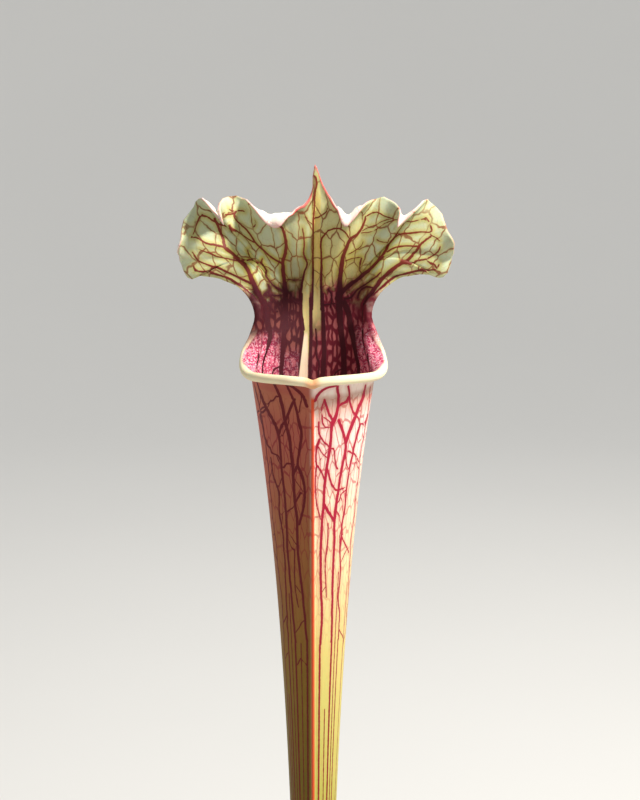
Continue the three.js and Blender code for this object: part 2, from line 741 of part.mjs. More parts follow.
// Pot with a drawn-in foot, a stepped band, a rounded rim and drain holes in the floor
function potGeometry() {
  const wall = POT_WALL;
  const step = POT_BAND_Z + POT_STEP_RISE;
  const profile = [
    [0, 0], [POT_BASE_RADIUS - 1.2, 0], [POT_BASE_RADIUS, 1.2], [POT_BAND_FOOT_RADIUS, POT_BAND_Z],
    [POT_BAND_RADIUS, POT_BAND_Z + 0.8], [POT_RIM_RADIUS - 0.6, POT_HEIGHT - 2.4],
    [POT_RIM_RADIUS, POT_HEIGHT - 1.6], [POT_RIM_RADIUS - 0.5, POT_HEIGHT],
    [POT_RIM_RADIUS - wall, POT_HEIGHT], [POT_RIM_RADIUS - wall - 0.6, POT_HEIGHT - 2],
    [POT_BAND_RADIUS - wall, step], [potInside(POT_BAND_Z - 0.5), POT_BAND_Z - 0.5],
    [potInside(POT_FLOOR + 1), POT_FLOOR + 1], [potInside(0) - 1.4, POT_FLOOR], [0, POT_FLOOR],
  ];
  let pot = turned(profile, POT_SEGMENTS);
  for (let k = 0; k < DRAIN_HOLES; k += 1) {
    const hole = new THREE.CylinderGeometry(DRAIN_RADIUS, DRAIN_RADIUS, 4 * POT_FLOOR, 16);
    hole.rotateX(Math.PI / 2);
    const a = (2 * Math.PI * (k + 0.5)) / DRAIN_HOLES;
    hole.translate(DRAIN_CIRCLE_RADIUS * Math.cos(a), DRAIN_CIRCLE_RADIUS * Math.sin(a), 0);
    pot = pot.subtract(toSolid(hole));
  }
  return toGeometry(pot);
}

// Height of the potting mix: low hills, a slight crown round the plant, level against the pot
function mixHeight(r, a) {
  const wide = Math.sin(3 * a + r / 9) * Math.cos(r / 7 + 2 * Math.sin(a));
  const narrow = 0.6 * Math.sin(5 * a - r / 6 + 1.3);
  const level = (1 - smooth(...MIX_BRIM_RADII, r)) * smooth(0, MIX_LEVEL_RADIUS, r);
  const crown = MIX_CROWN_RISE * Math.exp(-((r / MIX_CROWN_SPREAD) ** 2));
  return MIX_TOP + crown + MIX_HILL * (wide + narrow) * level;
}

// Potting mix that fills the pot, clear of its facets all round
function mixSolid() {
  const shell = new Shell();
  const lines = [];
  const around = (radius, height) => {
    const line = new Map();
    for (let k = 0; k < MIX_SEGMENTS; k += 1) {
      const a = (2 * Math.PI * k) / MIX_SEGMENTS;
      const [x, y] = [radius * Math.cos(a), radius * Math.sin(a)];
      line.set(k, shell.add(new THREE.Vector3(x, y, height(radius, a))));
    }
    lines.push(line);
  };
  const bottom = POT_FLOOR + GAP;
  const clear = GAP / Math.cos(Math.PI / MIX_SEGMENTS) + 0.15;
  const inside = (z) => potInside(z) * Math.cos(Math.PI / POT_SEGMENTS) - clear;
  around(inside(0) - 1.6, () => bottom);
  for (let k = 0; k <= MIX_SIDE_ROWS; k += 1) {
    const z = mix(bottom + 1.2, MIX_TOP - 1, k / MIX_SIDE_ROWS);
    around(inside(z), () => z);
  }
  const brim = inside(MIX_TOP - 1) - 0.8;
  for (let k = MIX_RINGS; k > 0; k -= 1) {
    around((brim * k) / MIX_RINGS, mixHeight);
  }
  lines.slice(1).forEach((upper, r) => {
    const lower = lines[r];
    for (let k = 0; k < MIX_SEGMENTS; k += 1) {
      const next = (k + 1) % MIX_SEGMENTS;
      shell.quad(lower.get(k), lower.get(next), upper.get(next), upper.get(k), false, k % 2 === 0);
    }
  });
  closeLine(shell, lines[0], new THREE.Vector3(0, 0, bottom), false);
  closeLine(shell, lines[lines.length - 1], new THREE.Vector3(0, 0, mixHeight(0, 0)), true);
  return toSolid(shell.geometry());
}

// A place along the rhizome's middle line, -1 to 1
function alongRhizome(s) {
  const a = radians(RHIZOME_TURN);
  const reach = RHIZOME_HALF_LENGTH * s;
  const [x, y, z] = RHIZOME_CENTRE;
  return new THREE.Vector3(x + reach * Math.cos(a), y + reach * Math.sin(a), z - 1.2 * s * s);
}

// Ringed rhizome with its roots and old leaf stubs, made larger all round by grow
function rhizomeSolid(grow) {
  const body = limb(
    (t) => alongRhizome((2 * t - 1) * (1 + grow / RHIZOME_HALF_LENGTH)),
    (t) => {
      const s = Math.abs(2 * t - 1);
      const dome = Math.sqrt(Math.max(1 - s ** 4, 0.04));
      const ridge = RHIZOME_RIDGE * Math.sin(2 * Math.PI * RHIZOME_RIDGES * t);
      return [RHIZOME_RADIUS * dome + ridge + grow, RHIZOME_RADIUS * dome + ridge + grow];
    },
    RHIZOME_ROWS, RHIZOME_SIDES, new THREE.Vector3(0, 0, 1),
  );
  let solid = toSolid(body);
  ROOTS.forEach(([s, heading, reach, depth]) => {
    const from = alongRhizome(s);
    const a = radians(heading);
    const course = (share) => {
      const t = share * (1 + grow / depth);
      const out = reach * (1 - (1 - t) ** 2);
      const wave = 2.2 * Math.sin(7 * t + s * 5);
      return new THREE.Vector3(
        from.x + out * Math.cos(a) - wave * Math.sin(a) * t,
        from.y + out * Math.sin(a) + wave * Math.cos(a) * t,
        from.z - depth * t ** 1.5 - 2,
      );
    };
    const shape = (t) => {
      const half = mix(ROOT_RADIUS, ROOT_TIP_RADIUS, t) + grow;
      return [half, half];
    };
    const aside = new THREE.Vector3(-Math.sin(a), Math.cos(a), 0);
    solid = solid.add(toSolid(limb(course, shape, ROOT_ROWS, ROOT_SIDES, aside)));
  });
  STUBS.forEach(([s, lean, height]) => {
    const from = alongRhizome(s);
    const a = radians(lean);
    const length = RHIZOME_RADIUS + height;
    const course = (t) => new THREE.Vector3(
      from.x,
      from.y + length * t * Math.sin(a),
      from.z + length * t * Math.cos(a) + (t > 0.5 ? grow : -grow),
    );
    const shape = (t) => [mix(1.25, 0.9, t) * STUB_RADIUS + grow, mix(1, 0.7, t) * STUB_RADIUS + grow];
    solid = solid.add(toSolid(limb(course, shape, 3, 10, new THREE.Vector3(1, 0, 0))));
  });
  return solid;
}

function mesh(name, geometry, color, roughness) {
  const metalness = 0;
  const material = new THREE.MeshStandardMaterial({ color, roughness, metalness });
  material.name = name;
  const m = new THREE.Mesh(geometry, material);
  m.name = name;
  return m;
}

const feet = [...PITCHERS.map(pitcherFoot), ...SPEARS.map((leaf) => spear(leaf, GAP))].map(toSolid);
const cutFeet = (solid) => feet.reduce((rest, foot) => rest.subtract(foot), solid);
const potting = cutFeet(mixSolid().subtract(rhizomeSolid(GAP)));
const rhizome = cutFeet(rhizomeSolid(0));

const plant = new THREE.Group();
plant.name = "pitcher_plant";
plant.add(mesh("pot", potGeometry(), 0x23221f, 0.55));
plant.add(mesh("potting_mix", toGeometry(potting), 0x4a3423, 0.95));
plant.add(mesh("rhizome", toGeometry(rhizome), 0x6d4a33, 0.8));
plant.add(mesh(TALL.name, pitcherGeometry(TALL), 0xd9b8a0, 0.5));
plant.add(mesh(YOUNG_RIGHT.name, pitcherGeometry(YOUNG_RIGHT), 0xc4a878, 0.5));
plant.add(mesh(YOUNG_LEFT.name, pitcherGeometry(YOUNG_LEFT), 0xb7b074, 0.5));
plant.add(mesh(BLADE_BACK.name, spear(BLADE_BACK, 0), 0x7c9a45, 0.5));
plant.add(mesh(BLADE_LEFT.name, spear(BLADE_LEFT, 0), 0x86a04c, 0.5));
plant.add(mesh(BLADE_RIGHT.name, spear(BLADE_RIGHT, 0), 0x759040, 0.5));
plant.add(mesh(BUD.name, spear(BUD, 0), 0x9fae58, 0.5));

export default plant;
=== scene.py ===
import math
import bpy
import numpy as np
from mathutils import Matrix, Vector, kdtree, noise


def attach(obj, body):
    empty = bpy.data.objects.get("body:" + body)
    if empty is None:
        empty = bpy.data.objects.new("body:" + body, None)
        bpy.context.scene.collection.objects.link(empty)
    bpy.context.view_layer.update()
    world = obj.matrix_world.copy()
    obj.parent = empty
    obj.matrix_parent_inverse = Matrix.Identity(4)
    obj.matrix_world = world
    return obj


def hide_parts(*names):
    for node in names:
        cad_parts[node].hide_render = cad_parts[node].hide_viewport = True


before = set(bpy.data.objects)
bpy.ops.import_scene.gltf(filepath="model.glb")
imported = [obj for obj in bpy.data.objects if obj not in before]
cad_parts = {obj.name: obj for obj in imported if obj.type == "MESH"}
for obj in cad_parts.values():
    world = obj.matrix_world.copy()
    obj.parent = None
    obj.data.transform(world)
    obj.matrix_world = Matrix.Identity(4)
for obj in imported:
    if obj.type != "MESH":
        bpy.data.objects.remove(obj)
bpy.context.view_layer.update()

# Camera
# The picture is taken from about 600 mm away, ten degrees above level, straight at the open front
# of the tall pitcher. The aim is just over its lip.
MM = 0.001
CAMERA_RISE = math.radians(10)
CAMERA_DISTANCE = 600
CAMERA_AIM = Vector((2.6, 0, 370))
CAMERA_LENS = 73
towards = Vector((0, math.cos(CAMERA_RISE), -math.sin(CAMERA_RISE)))
bpy.ops.object.select_all(action="DESELECT")
bpy.ops.object.camera_add(location=(CAMERA_AIM - towards * CAMERA_DISTANCE) * MM)
camera = bpy.context.object
camera.rotation_euler = towards.to_track_quat("-Z", "Y").to_euler()
camera.data.lens = CAMERA_LENS
camera.data.clip_start = 0.01
bpy.context.scene.camera = camera
bpy.context.scene.view_settings.view_transform = "Standard"

# Pot
# A nursery pot moulded in black polypropylene: thin walls that draw in to the foot, a stepped band
# and a rolled rim at the top, drain holes in the floor. It is a little dusty, with dried splashes.


class Level:
    """A number that varies over a surface; arithmetic on it adds Math nodes."""

    def __init__(self, paint, socket):
        self.paint = paint
        self.socket = socket

    def made(self, operation, *values):
        sockets = dict(enumerate(values))
        return self.paint.node("ShaderNodeMath", {"operation": operation}, sockets)

    def __add__(self, other):
        return self.made("ADD", self, other)

    def __sub__(self, other):
        return self.made("SUBTRACT", self, other)

    def __rsub__(self, other):
        return self.made("SUBTRACT", other, self)

    def __mul__(self, other):
        return self.made("MULTIPLY", self, other)

    __radd__ = __add__
    __rmul__ = __mul__

    def least(self, other):
        return self.made("MINIMUM", self, other)

    def most(self, other):
        return self.made("MAXIMUM", self, other)

    def rise(self, low, high):
        """0 under low, 1 over high, smooth between; low may be the larger."""
        sockets = {"Value": self, "From Min": low, "From Max": high}
        return self.paint.node("ShaderNodeMapRange", {"interpolation_type": "SMOOTHSTEP"}, sockets)

    def within(self, low, high, soft):
        """1 between low and high, with soft ends."""
        return self.rise(low - soft, low + soft) * self.rise(high + soft, high - soft)


class Paint:
    """The node tree of one finish."""

    def __init__(self, name):
        self.material = bpy.data.materials.new(name)
        self.material.use_nodes = True
        self.tree = self.material.node_tree
        self.shader = self.tree.nodes["Principled BSDF"]

    def node(self, kind, settings=(), sockets=(), give=0):
        """Adds a node with its settings and inputs, and gives one of its outputs."""
        node = self.tree.nodes.new(kind)
        for name, value in dict(settings).items():
            if name == "stops":
                ramp = node.color_ramp
                while len(ramp.elements) < len(value):
                    ramp.elements.new(0.5)
                for element, (place, colour) in zip(ramp.elements, value):
                    element.position = place
                    element.color = colour
            else:
                setattr(node, name, value)
        for name, value in dict(sockets).items():
            self.feed(node.inputs[name], value)
        return Level(self, node.outputs[give])

    def feed(self, socket, value):
        if isinstance(value, Level):
            self.tree.links.new(value.socket, socket)
        else:
            socket.default_value = value

    def place(self):
        return self.node("ShaderNodeTexCoord", give="Object")

    def grain(self, scale, detail, vector, roughness=0.5):
        """Cloudy noise from 0 to 1."""
        sockets = {"Vector": vector, "Scale": scale, "Detail": detail, "Roughness": roughness}
        return self.node("ShaderNodeTexNoise", (), sockets)

    def cells(self, scale, vector, flat=False):
        """Distance to the nearest edge between irregular cells."""
        dimensions = "2D" if flat else "3D"
        settings = {"feature": "DISTANCE_TO_EDGE", "voronoi_dimensions": dimensions}
        sockets = {"Vector": vector, "Scale": scale, "Randomness": 0.82 if flat else 1}
        return self.node("ShaderNodeTexVoronoi", settings, sockets, "Distance")

    def stretched(self, vector, scale):
        return self.node("ShaderNodeMapping", (), {"Vector": vector, "Scale": scale})

    def blend(self, share, under, over):
        return self.node("ShaderNodeMix", {"data_type": "RGBA"}, {0: share, 6: under, 7: over}, 2)

    def ramp(self, level, *stops):
        return self.node("ShaderNodeValToRGB", {"stops": stops}, {"Fac": level})

    def finish(self, colour, roughness, height=None, depth=0, **constants):
        """Sets the shader; height is relief in millimetres times depth."""
        self.feed(self.shader.inputs["Base Color"], colour)
        self.feed(self.shader.inputs["Roughness"], roughness)
        if height is not None:
            sockets = {"Height": height, "Distance": depth * MM, "Strength": 1}
            self.feed(self.shader.inputs["Normal"], self.node("ShaderNodeBump", (), sockets))
        for name, value in constants.items():
            socket = name.replace("_", " ").title().replace("Ior", "IOR")
            self.shader.inputs[socket].default_value = value
        return self.material


def tint(red, green, blue):
    """A colour as a screen shows it, 0 to 255, made linear."""
    shares = (red / 255, green / 255, blue / 255)
    return (*(c / 12.92 if c <= 0.04 else ((c + 0.055) / 1.055) ** 2.4 for c in shares), 1)


def fresh():
    """Nothing selected, so that the next operator works on the next piece alone."""
    if bpy.context.object and bpy.context.object.mode != "OBJECT":
        bpy.ops.object.mode_set(mode="OBJECT")
    bpy.ops.object.select_all(action="DESELECT")


def take(piece):
    """Selects one piece alone, for the operators that follow."""
    fresh()
    piece.select_set(True)
    bpy.context.view_layer.objects.active = piece


def settle(piece, name, material, node=None):
    """Names a finished piece, gives it its finish and lets it ride with the pot."""
    piece.name = name
    piece.data.name = name
    piece.data.materials.clear()
    piece.data.materials.append(material)
    take(piece)
    bpy.ops.object.transform_apply(location=True, rotation=True, scale=True)
    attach(piece, "root")
    if node:
        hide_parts(node)


def from_points(name, points, faces, edges=()):
    """An object from millimetre points."""
    mesh = bpy.data.meshes.new(name)
    mesh.from_pydata([tuple(p) for p in np.asarray(points) * MM], edges, faces)
    mesh.validate()
    piece = bpy.data.objects.new(name, mesh)
    bpy.context.collection.objects.link(piece)
    return piece


def apply_all(piece):
    """Makes every modifier of a piece part of its mesh."""
    take(piece)
    for modifier in list(piece.modifiers):
        bpy.ops.object.modifier_apply(modifier=modifier.name)


POT_HEIGHT = 115
POT_BASE_RADIUS = 46
POT_BAND_FOOT_RADIUS = 58.5
POT_BAND_RADIUS = 61.2
POT_RIM_RADIUS = 65
POT_WALL = 1.8
POT_FLOOR = 2.4
POT_BAND_Z = 99
POT_TURNS = 144
DRAIN_HOLES = 6
DRAIN_RADIUS = 4
DRAIN_CIRCLE_RADIUS = 31


def pot_inside(z):
    """Radius of the pot's inner face at a height."""
    return POT_BASE_RADIUS - POT_WALL + (POT_BAND_FOOT_RADIUS - POT_BASE_RADIUS) * z / POT_BAND_Z


def turned_profile():
    """Half section of the pot, from the middle of the underside round to the middle of the floor."""
    wall = POT_WALL
    rim = POT_RIM_RADIUS
    points = [(0, 0.6), (DRAIN_CIRCLE_RADIUS - 7, 0.6), (DRAIN_CIRCLE_RADIUS - 6, 0)]
    points += [(POT_BASE_RADIUS - 1.4, 0), (POT_BASE_RADIUS - 0.4, 0.4), (POT_BASE_RADIUS, 1.4)]
    for k in range(1, 7):
        share = k / 7
        radius = POT_BASE_RADIUS + (POT_BAND_FOOT_RADIUS - POT_BASE_RADIUS) * share
        points.append((radius, 1.4 + (POT_BAND_Z - 1.4) * share))
    points += [(POT_BAND_FOOT_RADIUS, POT_BAND_Z - 0.3), (POT_BAND_FOOT_RADIUS + 0.3, POT_BAND_Z)]
    points += [(POT_BAND_RADIUS - 0.4, POT_BAND_Z + 0.5), (POT_BAND_RADIUS, POT_BAND_Z + 1)]
    points += [(rim - 1.3, POT_HEIGHT - 3.6), (rim - 0.9, POT_HEIGHT - 3.0), (rim - 0.1, POT_HEIGHT - 2.4)]
    points += [(rim, POT_HEIGHT - 1.2), (rim - 0.25, POT_HEIGHT - 0.3), (rim - 0.8, POT_HEIGHT)]
    points += [(rim - wall + 0.3, POT_HEIGHT - 0.1), (rim - wall - 0.2, POT_HEIGHT - 0.7)]
    points += [(rim - wall - 0.6, POT_HEIGHT - 2.2), (POT_BAND_RADIUS - wall, POT_BAND_Z + 2.4)]
    points += [(pot_inside(POT_BAND_Z), POT_BAND_Z - 0.4), (pot_inside(POT_FLOOR + 1.4), POT_FLOOR + 1.4)]
    return points + [(pot_inside(0) - 1.4, POT_FLOOR), (0, POT_FLOOR)]


profile = [(r, 0, z) for r, z in turned_profile()]
pot = from_points("pot", profile, [], [(k, k + 1) for k in range(len(profile) - 1)])
take(pot)
bpy.ops.object.mode_set(mode="EDIT")
bpy.ops.mesh.select_all(action="SELECT")
bpy.ops.mesh.spin(steps=POT_TURNS, angle=2 * math.pi, center=(0, 0, 0), axis=(0, 0, 1))
bpy.ops.mesh.select_all(action="SELECT")
bpy.ops.mesh.remove_doubles(threshold=0.00001)
bpy.ops.mesh.normals_make_consistent(inside=False)
bpy.ops.object.mode_set(mode="OBJECT")
for k in range(DRAIN_HOLES):
    a = 2 * math.pi * (k + 0.5) / DRAIN_HOLES
    spot = Vector((math.cos(a), math.sin(a), 0)) * DRAIN_CIRCLE_RADIUS * MM
    fresh()
    bpy.ops.mesh.primitive_cylinder_add(vertices=32, radius=DRAIN_RADIUS * MM, depth=0.02, location=spot)
    drill = bpy.context.object
    cut = pot.modifiers.new("drain", "BOOLEAN")
    cut.operation = "DIFFERENCE"
    cut.object = drill
    apply_all(pot)
    bpy.data.objects.remove(drill)
take(pot)
bpy.ops.object.shade_smooth_by_angle(angle=math.radians(40))

paint = Paint("pot_plastic")
at = paint.place()
height_mm = paint.node("ShaderNodeSeparateXYZ", (), {0: at}, "Z") * 1000
smudge = paint.grain(26, 5, at).rise(0.42, 0.72)
specks = paint.grain(900, 2, at).rise(0.60, 0.72)
splash = height_mm.rise(34, 2) * paint.grain(120, 4, at).rise(0.42, 0.62)
chalk = height_mm.rise(106, 114) * paint.grain(160, 4, at).rise(0.45, 0.7)
dust = (smudge * 0.35 + specks * 0.25 + splash * 0.55 + chalk * 0.5).least(1)
plastic = paint.blend(dust, tint(32, 31, 29), tint(118, 106, 90))
flow = paint.grain(1, 2, paint.stretched(at, (900, 900, 60)))
settle(pot, "pot_shell", paint.finish(plastic, dust * 0.3 + 0.42, flow + specks, 0.05), "pot")

# Potting mix
# Moist peat and composted bark, filled in loose to a finger's width under the pot's rim and a little
# higher round the plant. Its top is clods and crumbs.
MIX_TOP = 97
MIX_CLEARANCE = 0.5
MIX_CROWN_RISE = 3
MIX_CROWN_SPREAD = 34
MIX_HILL = 0.9
MIX_RINGS = 76
MIX_SEGMENTS = 216
MIX_CLODS = ((7.5, 0.9), (3.2, 0.55), (1.5, 0.25))
draw = np.random.default_rng(26)


def eased(low, high, at):
    """0 under low, 1 over high, smooth between."""
    share = np.clip((at - low) / (high - low), 0, 1)
    return share * share * (3 - 2 * share)


def mix_height(x, y):
    """Top of the potting mix: a low crown round the plant, soft hills, clods."""
    r = math.hypot(x, y)
    a = math.atan2(y, x)
    hills = math.sin(3 * a + r / 9) * math.cos(r / 7 + 2 * math.sin(a)) + 0.6 * math.sin(5 * a - r / 6 + 1.3)
    level = (1 - eased(50, 56, r)) * eased(0, 12, r)
    z = MIX_TOP + MIX_CROWN_RISE * math.exp(-((r / MIX_CROWN_SPREAD) ** 2)) + MIX_HILL * hills * level
    for size, depth in MIX_CLODS:
        z += depth * noise.noise(Vector((x / size, y / size, size)))
    return z


def circle(radius, count):
    """Places round the pot's axis."""
    turns = [2 * math.pi * k / count for k in range(count)]
    return [(radius * math.cos(a), radius * math.sin(a)) for a in turns]


def ring_faces(rings, count):
    """Faces of a closed body of rings of points, with its foot and its end as the last two points."""
    start = np.arange(rings - 1)[:, None] * count
    here = np.arange(count)[None, :]
    ahead = (here + 1) % count
    quads = np.stack([start + here, start + ahead, start + count + ahead, start + count + here], -1)
    faces = quads.reshape(-1, 4).tolist()
    foot = rings * count
    for k in range(count):
        beside = (k + 1) % count
        faces.append((foot, beside, k))
        faces.append((foot - count + k, foot - count + beside, foot + 1))
    return faces


points = []
for z in (POT_FLOOR + 0.6, MIX_TOP - 30, MIX_TOP - 4):
    points += [(x, y, z) for x, y in circle(pot_inside(z) - MIX_CLEARANCE, MIX_SEGMENTS)]
for ring in range(MIX_RINGS, 0, -1):
    radius = (pot_inside(MIX_TOP) - MIX_CLEARANCE) * ring / MIX_RINGS
    points += [(x, y, mix_height(x, y)) for x, y in circle(radius, MIX_SEGMENTS)]
points += [(0, 0, POT_FLOOR + 0.6), (0, 0, mix_height(0, 0))]
soil = from_points("soil", points, ring_faces(MIX_RINGS + 3, MIX_SEGMENTS))
soil.data.shade_smooth()

paint = Paint("peat_and_bark")
at = paint.place()
crumb = paint.cells(420, at)
fibre = paint.grain(700, 4, at, 0.7)
damp = paint.grain(40, 3, at).rise(0.35, 0.7)
peat = paint.ramp(fibre, (0.25, tint(34, 24, 17)), (0.5, tint(66, 46, 31)), (0.78, tint(112, 84, 58)))
peat = paint.blend(damp * 0.6, peat, tint(30, 21, 15))
finish = paint.finish(peat, damp * -0.25 + 0.95, fibre + crumb, 0.9)
settle(soil, "soil", finish, "potting_mix")

# Perlite
# White grains of puffed volcanic glass, mixed into the peat to keep it open. Those at the top show,
# stained by the water.
PERLITE_GRAINS = 150


def perlite_grain(seed):
    """One grain, knocked out of a ball by noise."""
    fresh()
    bpy.ops.mesh.primitive_ico_sphere_add(subdivisions=2, radius=1)
    grain = bpy.context.object
    for v in grain.data.vertices:
        away = noise.noise(v.co * 1.3 + Vector((seed, 0, 0))) * 0.55
        v.co = Vector((v.co.x, v.co.y * 0.8, v.co.z * 0.8)) * (1 + away)
    return grain


def turn_matrix(axis_up, spin):
    """Rotation that stands a copy on a direction, spun about it."""
    stood = Vector(axis_up).normalized().to_track_quat("Z", "Y").to_matrix()
    spun = Vector((math.cos(spin), math.sin(spin), 0)).to_track_quat("X", "Z").to_matrix()
    return np.array(stood @ spun)


def strewn(name, models, places):
    """One object of many copies; a place is (model, position, size, up, spin), in millimetres."""
    kinds = []
    for model in models:
        pts = np.array([v.co[:] for v in model.data.vertices])
        kinds.append((pts, [tuple(p.vertices) for p in model.data.polygons]))
        bpy.data.objects.remove(model)
    points, faces = [], []
    for kind, position, size, up, spin in places:
        pts, polygons = kinds[kind % len(kinds)]
        shift = len(points)
        moved = (pts * size) @ turn_matrix(up, spin).T + position
        points.extend(moved)
        faces.extend(tuple(i + shift for i in p) for p in polygons)
    return from_points(name, points, faces)


# Feet of the leaves, which grains and moss keep clear of: place and radius
LEAF_FEET = (
    (0, 0, 6), (17, 8, 5), (-17.5, 0, 5), (8.5, 8.5, 4.5), (-26, -2.5, 4.5), (26, 9.5, 4.5),
    (-9.5, 4.5, 4.5),
)


def free_spots(count, reach, clear, patch=None):
    """Places on the mix, clear of the leaves and, if patch says so, only where moss has grown."""
    spots = []
    while len(spots) < count:
        x, y = draw.uniform(-reach, reach, 2)
        if math.hypot(x, y) > reach:
            continue
        if any(math.hypot(x - a, y - b) < r + clear for a, b, r in LEAF_FEET):
            continue
        if patch is not None:
            grown = noise.noise(Vector((x / 17, y / 17, 4.2))) + draw.uniform(-0.12, 0.12)
            if grown < patch:
                continue
        spots.append((x, y))
    return spots


def any_way(tilt):
    """A direction near the vertical."""
    a, b = draw.uniform(-tilt, tilt, 2)
    return (a, b, 1)


places = []
for x, y in free_spots(PERLITE_GRAINS, 54, 0.5):
    size = draw.uniform(0.7, 1.9)
    kind = draw.integers(4)
    spot = (x, y, mix_height(x, y) + 0.15 * size)
    places.append((kind, spot, size, any_way(1.5), draw.uniform(0, 6)))
perlite = strewn("perlite", [perlite_grain(k * 3.7) for k in range(4)], places)
perlite.data.shade_smooth()
paint = Paint("perlite_white")
at = paint.place()
pores = paint.cells(1500, at)
stain = paint.grain(300, 3, at).rise(0.4, 0.75)
white = paint.blend(stain * 0.6, tint(233, 229, 218), tint(176, 158, 132))
settle(perlite, "perlite", paint.finish(white, 0.9, pores, 0.5))

# Bark chips
# Flakes of composted pine bark that lie on the mix, bowed as they dried.
BARK_CHIPS = 170
CHIP_WARP = 0.162886


def bark_chip(seed):
    """One flake of bark: a flat block, bowed and warped."""
    fresh()
    bpy.ops.mesh.primitive_cube_add(size=2)
    chip = bpy.context.object
    chip.scale = (1, 0.5, 0.16)
    bpy.ops.object.transform_apply(location=False, rotation=False, scale=True)
    bpy.ops.object.mode_set(mode="EDIT")
    bpy.ops.mesh.subdivide(number_cuts=2)
    bpy.ops.object.mode_set(mode="OBJECT")
    for v in chip.data.vertices:
        v.co += noise.noise_vector(v.co * 1.6 + Vector((0, seed, 0))) * CHIP_WARP
        v.co.z += 0.16 * v.co.x * v.co.x - 0.1 * v.co.y * v.co.y
    return chip


places = []
for x, y in free_spots(BARK_CHIPS, 53, 1.5):
    size = draw.uniform(1.6, 4.4)
    kind = draw.integers(4)
    spot = (x, y, mix_height(x, y) + 0.1 * size)
    places.append((kind, spot, size, any_way(0.45), draw.uniform(0, 6)))
chips = strewn("bark_chips", [bark_chip(k * 2.9) for k in range(4)], places)
chips.data.shade_flat()
paint = Paint("bark")
at = paint.place()
streak = paint.grain(520, 4, at, 0.65)
tone = streak * 0.6 + paint.grain(70, 2, at) * 0.4
bark = paint.ramp(tone, (0.3, tint(48, 30, 20)), (0.5, tint(92, 60, 40)), (0.7, tint(140, 100, 70)))
settle(chips, "bark_chips", paint.finish(bark, 0.85, streak, 0.5))

# Bog moss
# Living moss that has settled in cushions where the mix stays wettest. Each head is a star of narrow
# leaflets on a short stalk.
MOSS_HEADS = 1500
MOSS_LEAFLETS = 9


def moss_head(seed):
    """One head, a unit across: three tiers of leaflets, each a thin three-sided blade that arches."""
    points = [(0, 0, -1.6), (0.12, 0, 0.1), (-0.06, 0.1, 0.1), (-0.06, -0.1, 0.1)]
    faces = [(0, 1, 2), (0, 2, 3), (0, 3, 1), (1, 3, 2)]
    for k in range(MOSS_LEAFLETS):
        a = 2 * math.pi * k / MOSS_LEAFLETS + seed
        tier = k % 3
        arch = ((0.05, 0.16, 0), (0.5, 0.2, 0.26 + 0.25 * tier), (1, 0.02, -0.1 + 0.45 * tier))
        first = len(points)
        for share, width, lift in arch:
            out = share * (1.0 - 0.18 * tier)
            for side in (-width, width):
                x = out * math.cos(a) - side * math.sin(a)
                y = out * math.sin(a) + side * math.cos(a)
                points.append((x, y, lift))
            points.append((out * math.cos(a), out * math.sin(a), lift - 0.14 * (1 - share)))
        for i in (first, first + 3):
            faces += [(i, i + 1, i + 4), (i, i + 4, i + 3), (i + 1, i + 2, i + 5), (i + 1, i + 5, i + 4)]
            faces += [(i + 2, i, i + 3), (i + 2, i + 3, i + 5)]
        faces += [(first, first + 2, first + 1), (first + 6, first + 7, first + 8)]
    return from_points("moss_head", np.array(points) / MM, faces)


places = []
for x, y in free_spots(MOSS_HEADS, 55, -0.5, patch=0.02):
    size = draw.uniform(0.9, 1.9)
    kind = draw.integers(5)
    spot = (x, y, mix_height(x, y) + draw.uniform(0.5, 2.2))
    places.append((kind, spot, size, any_way(0.5), draw.uniform(0, 6)))
moss = strewn("moss", [moss_head(k * 0.37) for k in range(5)], places)
paint = Paint("bog_moss")
at = paint.place()
tone = paint.grain(130, 3, at)
green = paint.ramp(tone, (0.3, tint(96, 116, 44)), (0.5, tint(148, 158, 74)), (0.72, tint(190, 186, 112)))
settle(moss, "moss", paint.finish(green, 0.8, subsurface_weight=0.15))

# Rhizome
# The creeping stem that all leaves rise from: brown, ringed by old leaf scars, with fibrous roots
# below and dead leaf bases on top. It lies in the mix and only its back shows.
SCAR_SPACING = 72 / 11
rhizome = bpy.data.objects.new("rhizome_bark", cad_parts["rhizome"].data.copy())
bpy.context.collection.objects.link(rhizome)
take(rhizome)
bpy.ops.object.mode_set(mode="EDIT")
bpy.ops.mesh.select_all(action="SELECT")
bpy.ops.mesh.remove_doubles(threshold=0.00001)
bpy.ops.object.mode_set(mode="OBJECT")
voxels = rhizome.modifiers.new("even", "REMESH")
voxels.mode = "VOXEL"
voxels.voxel_size = 0.75 * MM
apply_all(rhizome)
for v in rhizome.data.vertices:
    along = v.co.x / MM + 2 * noise.noise(v.co * 160)
    scar = 0.5 + 0.5 * math.sin(2 * math.pi * along / SCAR_SPACING)
    v.co += v.normal * MM * (0.3 * scar + 0.35 * noise.noise(v.co * 420) - 0.25)
rhizome.data.shade_smooth()
paint = Paint("rhizome_bark")
at = paint.place()
bands = paint.grain(1, 4, paint.stretched(at, (900, 160, 160)), 0.6)
skin_tone = paint.ramp(bands, (0.3, tint(58, 36, 24)), (0.55, tint(112, 74, 50)), (0.75, tint(160, 122, 88)))
settle(rhizome, "rhizome_bark", paint.finish(skin_tone, 0.8, bands, 0.6), "rhizome")

